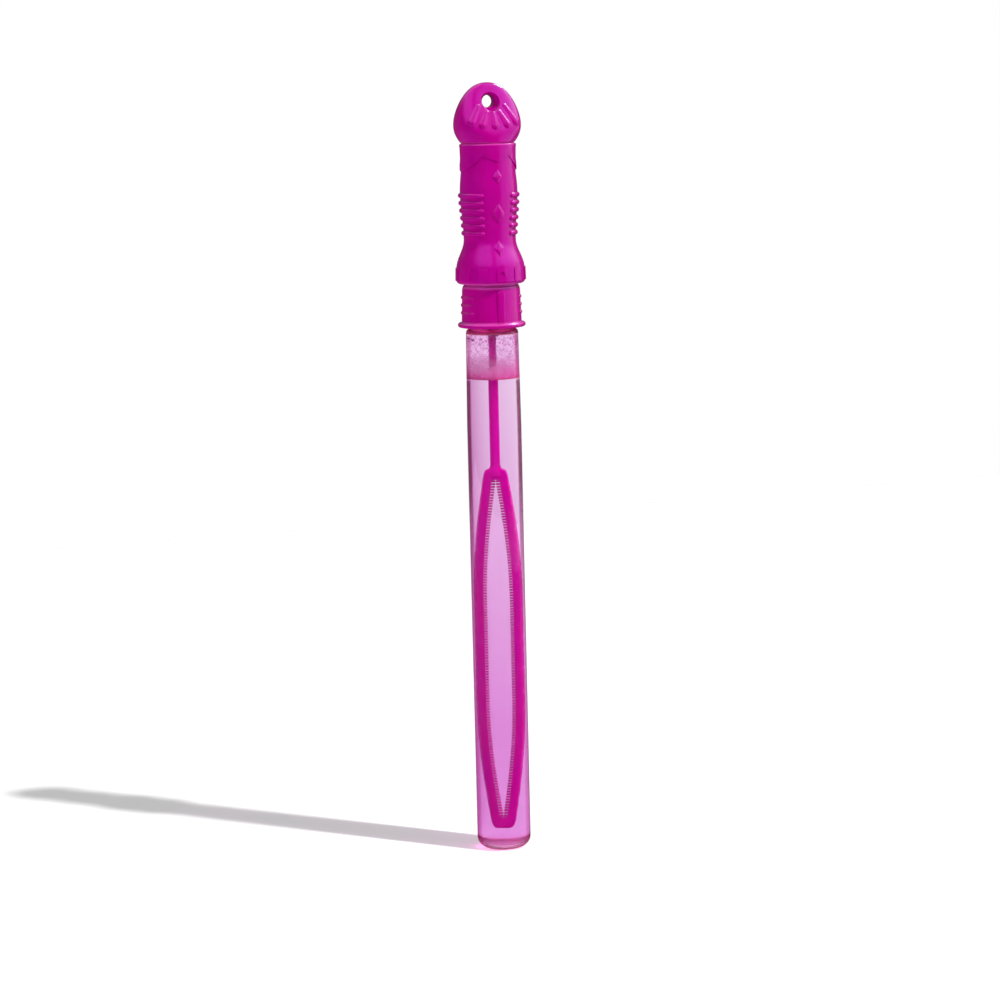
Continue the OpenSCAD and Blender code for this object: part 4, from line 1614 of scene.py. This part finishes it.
@dataclass
class Grip:
    """Hollow moulded grip: bell skirt, ribbed body, zigzag band and flat head with petals."""

    z_hem: float = 275.8
    hem_r: float = 16.46
    hem_edge: float = 2.0
    z_skirt: float = 282.9
    skirt_r: float = 16.26
    z_waist: float = 296.9
    waist_r: float = 12.4
    z_belly: float = 319.7
    belly_r: float = 13.7
    z_band: float = 328.5
    z_core: float = 331.85
    core_r: float = 12.9
    z_groove: float = 341.9
    z_head: float = 342.5
    band_out: float = 0.6
    wall: float = 2.0
    z_ceiling: float = 279.7
    bore: float = 10.5
    z_cavity: float = 335.2
    rib_r: float = 1.2
    rib_out: float = 1.0
    rib_pitch: float = 3.57
    rib_count: int = 6
    rib_free: float = 34.0
    block_w: float = 5.0
    block_h: float = 5.9
    block_out: float = 0.42
    block_count: int = 11
    dimple_d: float = 2.6
    diamond_w: float = 6.5
    diamond_h: float = 9.7
    diamond_out: float = 0.8
    rib_up: float = 0.5
    head_w: float = 31.4
    head_h: float = 28.2
    head_edge_t: float = 6.2
    z_hang: float = 361.8
    hang_r: float = 3.0
    mouth_r: float = 4.5
    hang_l: float = 4.0
    widest_share: float = 0.337
    petal_out: float = 1.05
    petal_w: float = 3.8
    voxel: float = 0.21

    def body_r(self, z: float) -> float:
        """Radius of the body at a height.

        Args:
            z: The height, in millimetres.

        Returns:
            The radius, in millimetres.
        """
        if z < self.z_skirt:
            return self.hem_r + (self.skirt_r - self.hem_r) * (z - self.z_hem) / (self.z_skirt - self.z_hem)
        rings = (
            (self.z_skirt, self.skirt_r), (self.z_waist, self.waist_r),
            (self.z_belly, self.belly_r), (self.z_core, self.core_r),
        )
        for (z0, r0), (z1, r1) in zip(rings, rings[1:]):
            if z < z1:
                break
        return r0 + (r1 - r0) * ease((z - z0) / (z1 - z0))

    def body_core(self) -> Piece:
        """Builds the turned body, still solid.

        Returns:
            The piece.
        """
        e = self.hem_edge
        z_root = (self.z_groove + self.z_head) / 2
        points = [(0.0, self.z_hem)] + arc(self.hem_r - e, self.z_hem + e, e, -90, 0, 8)
        points += [(self.body_r(z), z) for z in spread(self.z_hem + e + 1, self.z_skirt, 5)]
        points += [(self.body_r(z), z) for z in spread(self.z_skirt + 0.6, self.z_waist, 22)]
        points += [(self.body_r(z), z) for z in spread(self.z_waist + 0.8, self.z_core, 34)]
        points += [
            (self.core_r, self.z_groove - 1), (self.core_r, z_root - 0.15), (self.core_r - 0.3, z_root),
            (0.0, z_root)
        ]
        return Bench.spun("grip_body", points, 180)

    def ribs(self) -> list[Piece]:
        """Builds the ribs at both sides.

        Returns:
            The pieces.
        """
        z_mid = (self.z_waist + self.z_belly) / 2
        made = []
        for i in range(self.rib_count):
            z = z_mid + self.rib_up + (i - (self.rib_count - 1) / 2) * self.rib_pitch
            r = self.body_r(z) - self.rib_r + self.rib_out
            made += [
                side_rib(f"grip_rib_{i}_{side}", r, z, self.rib_r, self.rib_free, side) for side in (0, 180)
            ]
        return made

    def diamonds(self) -> list[Piece]:
        """Builds the raised diamonds at the front and the back, with soft edges.

        Returns:
            The pieces.
        """
        corners = ((-1.0, 0.0), (0.0, -1.0), (1.0, 0.0), (0.0, 1.0))
        made = []
        for up, size in ((1.31, 0.72), (0.55, 1.0), (-0.175, 0.81)):
            z = self.z_waist + up * (self.z_belly - self.z_waist)
            half_w, half_h = self.diamond_w * size / 2, self.diamond_h * size / 2
            rings = []
            for out, share in (
                (-1.2, 1.0), (-0.02, 1.0), (self.diamond_out * 0.85, 0.66), (self.diamond_out, 0.56)
            ):
                ring = []
                for (x0, z0), (x1, z1) in zip(corners, corners[1:] + corners[:1]):
                    for t in (0.0, 0.25, 0.5, 0.75):
                        x = (x0 + (x1 - x0) * t) * half_w * share
                        high = z + (z0 + (z1 - z0) * t) * half_h * share
                        near = math.sqrt(self.body_r(high) ** 2 - x * x)
                        ring.append(Vector((x, -near - out, high)) * MM)
                rings.append(ring)
            made.append(Bench.lofted("diamond", rings))
        return made + [Bench.copied(piece, 180) for piece in made]

    def blocks(self) -> list[Piece]:
        """Builds the rounded blocks round the skirt, with a dimple in the front one.

        Returns:
            The pieces.
        """
        foot = self.z_hem + self.hem_edge
        top, half, corner = foot + self.block_h, self.block_w / 2, self.block_w / 6
        outline = [(-half, foot - 0.3), (half, foot - 0.3)]
        outline += arc(half - corner, top - corner, corner, 0, 90, 5)
        outline += arc(corner - half, top - corner, corner, 90, 180, 5)
        block = Bench.slab("block", outline, -self.hem_r - 1, 1 - self.hem_r)
        skin = Bench.spun("block_skin", [(0, foot - 1), (self.hem_r + self.block_out + 0.03, foot - 1),
                                         (self.skirt_r + self.block_out, top + 1), (0, top + 1)], 180)
        Bench.cut(block, skin, Cut.KEEP)
        Bench.rounded(block, 0.2, 3, 40)
        made = [Bench.copied(block, 360 * i / self.block_count) for i in range(1, self.block_count)]
        Bench.clear()
        place = (0, -(self.hem_r + self.block_out) * MM, (foot + self.block_h / 2) * MM)
        bpy.ops.mesh.primitive_uv_sphere_add(
            segments=32, ring_count=16, radius=self.dimple_d / 2 * MM, location=place
        )
        Bench.cut(block, Bench.applied(Bench.named("dimple")), Cut.TAKE)
        return [block] + made

    def band(self) -> Piece:
        """Builds the band with its zigzag foot.

        Returns:
            The piece.
        """
        out, r = self.band_out, self.core_r
        height = self.z_groove - self.z_band
        low = -r - 2 * out
        peak = low * 0.45
        points = [
            (r - out, self.z_band - 3.4), (r + out, self.z_band - 3.4), (r + out, self.z_band + 3.3),
            (r + out * 0.55, self.z_band + 6.7)
        ]
        points += [(r + out * 0.7, self.z_groove - 2.2)]
        points += arc(r + out - 0.5, self.z_groove - 0.5, 0.5, 0, 90, 5)
        points += [(r - out, self.z_groove)]
        ring = Bench.spun("band", points, 180)
        outline = [
            (low, self.z_groove + 1), (low, self.z_band), (peak, self.z_band + height * 0.6),
            (0, self.z_band + height * 0.38), (-peak, self.z_band + height * 0.6), (-low, self.z_band),
            (-low, self.z_groove + 1)
        ]
        zigzag = Bench.slab("zigzag", outline, low, -low)
        Bench.cut(ring, zigzag, Cut.KEEP)
        return Bench.rounded(ring, 0.12, 2, 40)

    def hollow(self) -> list[Piece]:
        """Builds the solids that make the recess under the skirt and the bore.

        Returns:
            The pieces.
        """
        recess = self.hem_r - self.wall
        lower = Bench.spun(
            "recess",
            [
                (0, self.z_hem - 1), (recess + 0.3, self.z_hem - 1), (recess + 0.3, self.z_hem),
                (recess, self.z_hem + 0.6), (recess, self.z_hem + self.hem_edge),
                (recess - 1, self.z_ceiling), (0, self.z_ceiling)
            ],
            180
        )
        upper = Bench.spun(
            "bore",
            [
                (0, self.z_ceiling - 1), (self.bore, self.z_ceiling - 1),
                (self.bore, self.z_cavity - self.bore / 2), (self.bore / 2, self.z_cavity), (0, self.z_cavity)
            ],
            128
        )
        return [lower, upper]

    def build_body(self, material: Material) -> None:
        """Builds the skirt, body and band as one hollow piece.

        Args:
            material: Its material.
        """
        body = self.body_core()
        for tool in [self.band()] + self.blocks() + self.diamonds() + self.ribs():
            Bench.cut(body, tool, Cut.ADD)
        for tool in self.hollow():
            Bench.cut(body, tool, Cut.TAKE)
        Bench.smoothed(body, 32)
        mount(body, material, Body.CLOSURE, Slot.GRIP, "grip")

    def head_half_w(self, s: float) -> float:
        """Half width of the head at a share of its height.

        Args:
            s: Share of the head's height.

        Returns:
            The half width, in millimetres.
        """
        widest = self.widest_share
        if s < widest:
            return self.head_w / 2 - (self.head_w / 2 - self.core_r) * ((widest - s) / widest) ** 3
        return self.head_w / 2 * (1 - min(1.0, (s - widest) / (1 - widest)) ** 1.75) ** 0.48

    def head_half_t(self, s: float) -> float:
        """Half thickness of the head at a share of its height."""
        t = self.core_r - (self.core_r - self.head_edge_t / 2) * ease(s ** 1.15)
        return t * (1 if s < 0.9 else math.sqrt(max(0.0, 1 - ((s - 0.9) / 0.1) ** 2)))

    def head_face(self, x: float, s: float) -> float:
        """Distance from the head's middle plane to its face."""
        n = 2 + ease(s / self.widest_share)
        return self.head_half_t(s) * (1 - (abs(x) / self.head_half_w(s)) ** n) ** (1 / n)

    def head_core(self) -> Piece:
        """Shapes a ball into the flattened head.

        Returns:
            The piece.
        """
        Bench.clear()
        bpy.ops.mesh.primitive_uv_sphere_add(segments=144, ring_count=96, radius=1)
        head = Bench.named("grip_head")
        root = self.core_r - 0.3
        for vert in head.data.vertices:
            row = math.acos(max(-1.0, min(1.0, -vert.co.z))) / math.pi
            angle = math.atan2(vert.co.y, vert.co.x) if row > 0 else 0.0
            c, s = math.cos(angle), math.sin(angle)
            if row < 0.1:
                vert.co = Vector((c * root * row / 0.1, s * root * row / 0.1, self.z_groove)) * MM
                continue
            share = math.sin(math.pi / 2 * (row - 0.1) / 0.9)
            n = 2 + ease(share / self.widest_share)
            x = math.copysign(abs(c) ** (2 / n), c) * self.head_half_w(share)
            y = math.copysign(abs(s) ** (2 / n), s) * self.head_half_t(share)
            vert.co = Vector((x, y, self.z_head + self.head_h * share)) * MM
        return Bench.tidy(head, gap=0.0005)

    def petals(self) -> list[Piece]:
        """Builds the drops that stand out as petals under the hang hole, on both faces.

        Returns:
            The pieces.
        """
        ball = ((self.petal_w / 2) ** 2 + self.petal_out ** 2) / (2 * self.petal_out)
        tip = ball * 0.55
        made = []
        for (x0, s0), (x1, s1) in (
            ((0, 0.5), (0, 0.275)), ((0.1, 0.5), (0.19, 0.29)), ((0.205, 0.6), (0.335, 0.33))
        ):
            for side in (-1, 1) if x0 else (1,):
                ends = []
                for share_x, s, r, out in (
                    (x1, s1, ball, self.petal_out), (x0, s0, tip, self.petal_out * 0.55)
                ):
                    x = side * share_x * self.head_w
                    ends.append(
                        (Vector((x, r - out - self.head_face(x, s), self.z_head + s * self.head_h)), r)
                    )
                made.append(self.drop(*ends[0], *ends[1]))
        return made + [Bench.copied(piece, 180) for piece in made]

    @staticmethod
    def drop(p0: Vector, r0: float, p1: Vector, r1: float) -> Piece:
        """Drop with a ball at each end.

        Args:
            p0: Middle of the first ball, in millimetres.
            r0: Its radius.
            p1: Middle of the second ball.
            r1: Its radius.

        Returns:
            The piece.
        """
        along = p1 - p0
        lean = math.degrees(math.asin((r0 - r1) / along.length))
        points = [
            (max(0.0, x), z) for x, z in arc(0, 0, r0, -90, lean, 14) + arc(0, along.length, r1, lean, 90, 14)
        ]
        points[0], points[-1] = (0.0, -r0), (0.0, along.length + r1)
        piece = Bench.spun("petal", points, 32)
        piece.rotation_euler = along.to_track_quat("Z", "Y").to_euler()
        piece.location = p0 * MM
        return Bench.applied(piece)

    def hang_hole(self) -> Piece:
        """Builds the flared plug that makes the hang hole.

        Returns:
            The piece.
        """
        half = self.hang_l / 2
        flare = half + (self.mouth_r - self.hang_r) + self.hang_l / 4
        deep = self.core_r
        points = [
            (0, -deep), (self.mouth_r, -deep), (self.mouth_r, -flare), (self.hang_r, -half),
            (self.hang_r, half), (self.mouth_r, flare), (self.mouth_r, deep), (0, deep)
        ]
        plug = Bench.spun("plug", points, 72)
        plug.rotation_euler.x = math.pi / 2
        plug.location.z = self.z_hang * MM
        return Bench.applied(plug)

    def build_head(self, material: Material) -> None:
        """Builds the head, and softens where the petals meet it.

        Args:
            material: Its material.
        """
        head = self.head_core()
        for petal in self.petals():
            Bench.cut(head, petal, Cut.ADD)
        Bench.cut(head, self.hang_hole(), Cut.TAKE)
        Bench.finish(head, "REMESH", mode="VOXEL", voxel_size=self.voxel * MM, use_smooth_shade=True)
        Bench.finish(head, "SMOOTH", factor=0.5, iterations=3)
        Bench.smoothed(head, 180)
        mount(head, material, Body.CLOSURE, Slot.GRIP)

    def build(self) -> None:
        """Builds the grip's body and head in the same plastic."""
        # The bands in thin are painted light: a lighter line on the hem's edge, and the groove under the head
        # lightened against its shade.
        material = MouldedPlastic(
            "grip_magenta", (0.515, 0.0, 0.27), (0.495, 0.0, 0.295), thin=((275.9, 0.9), (342.1, 0.8))
        ).make()
        self.build_body(material)
        self.build_head(material)


def main() -> None:
    """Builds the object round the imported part, and the studio round the object."""
    logging.basicConfig(level=logging.INFO, format="%(relativeCreated)d ms %(name)s: %(message)s")
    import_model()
    vessel = Vessel()
    Studio().build()
    vessel.build()
    Filling(vessel).build()
    Washer().build()
    Collar().build()
    DippingLoop().build()
    Grip().build()


if __name__ == "__main__":
    main()
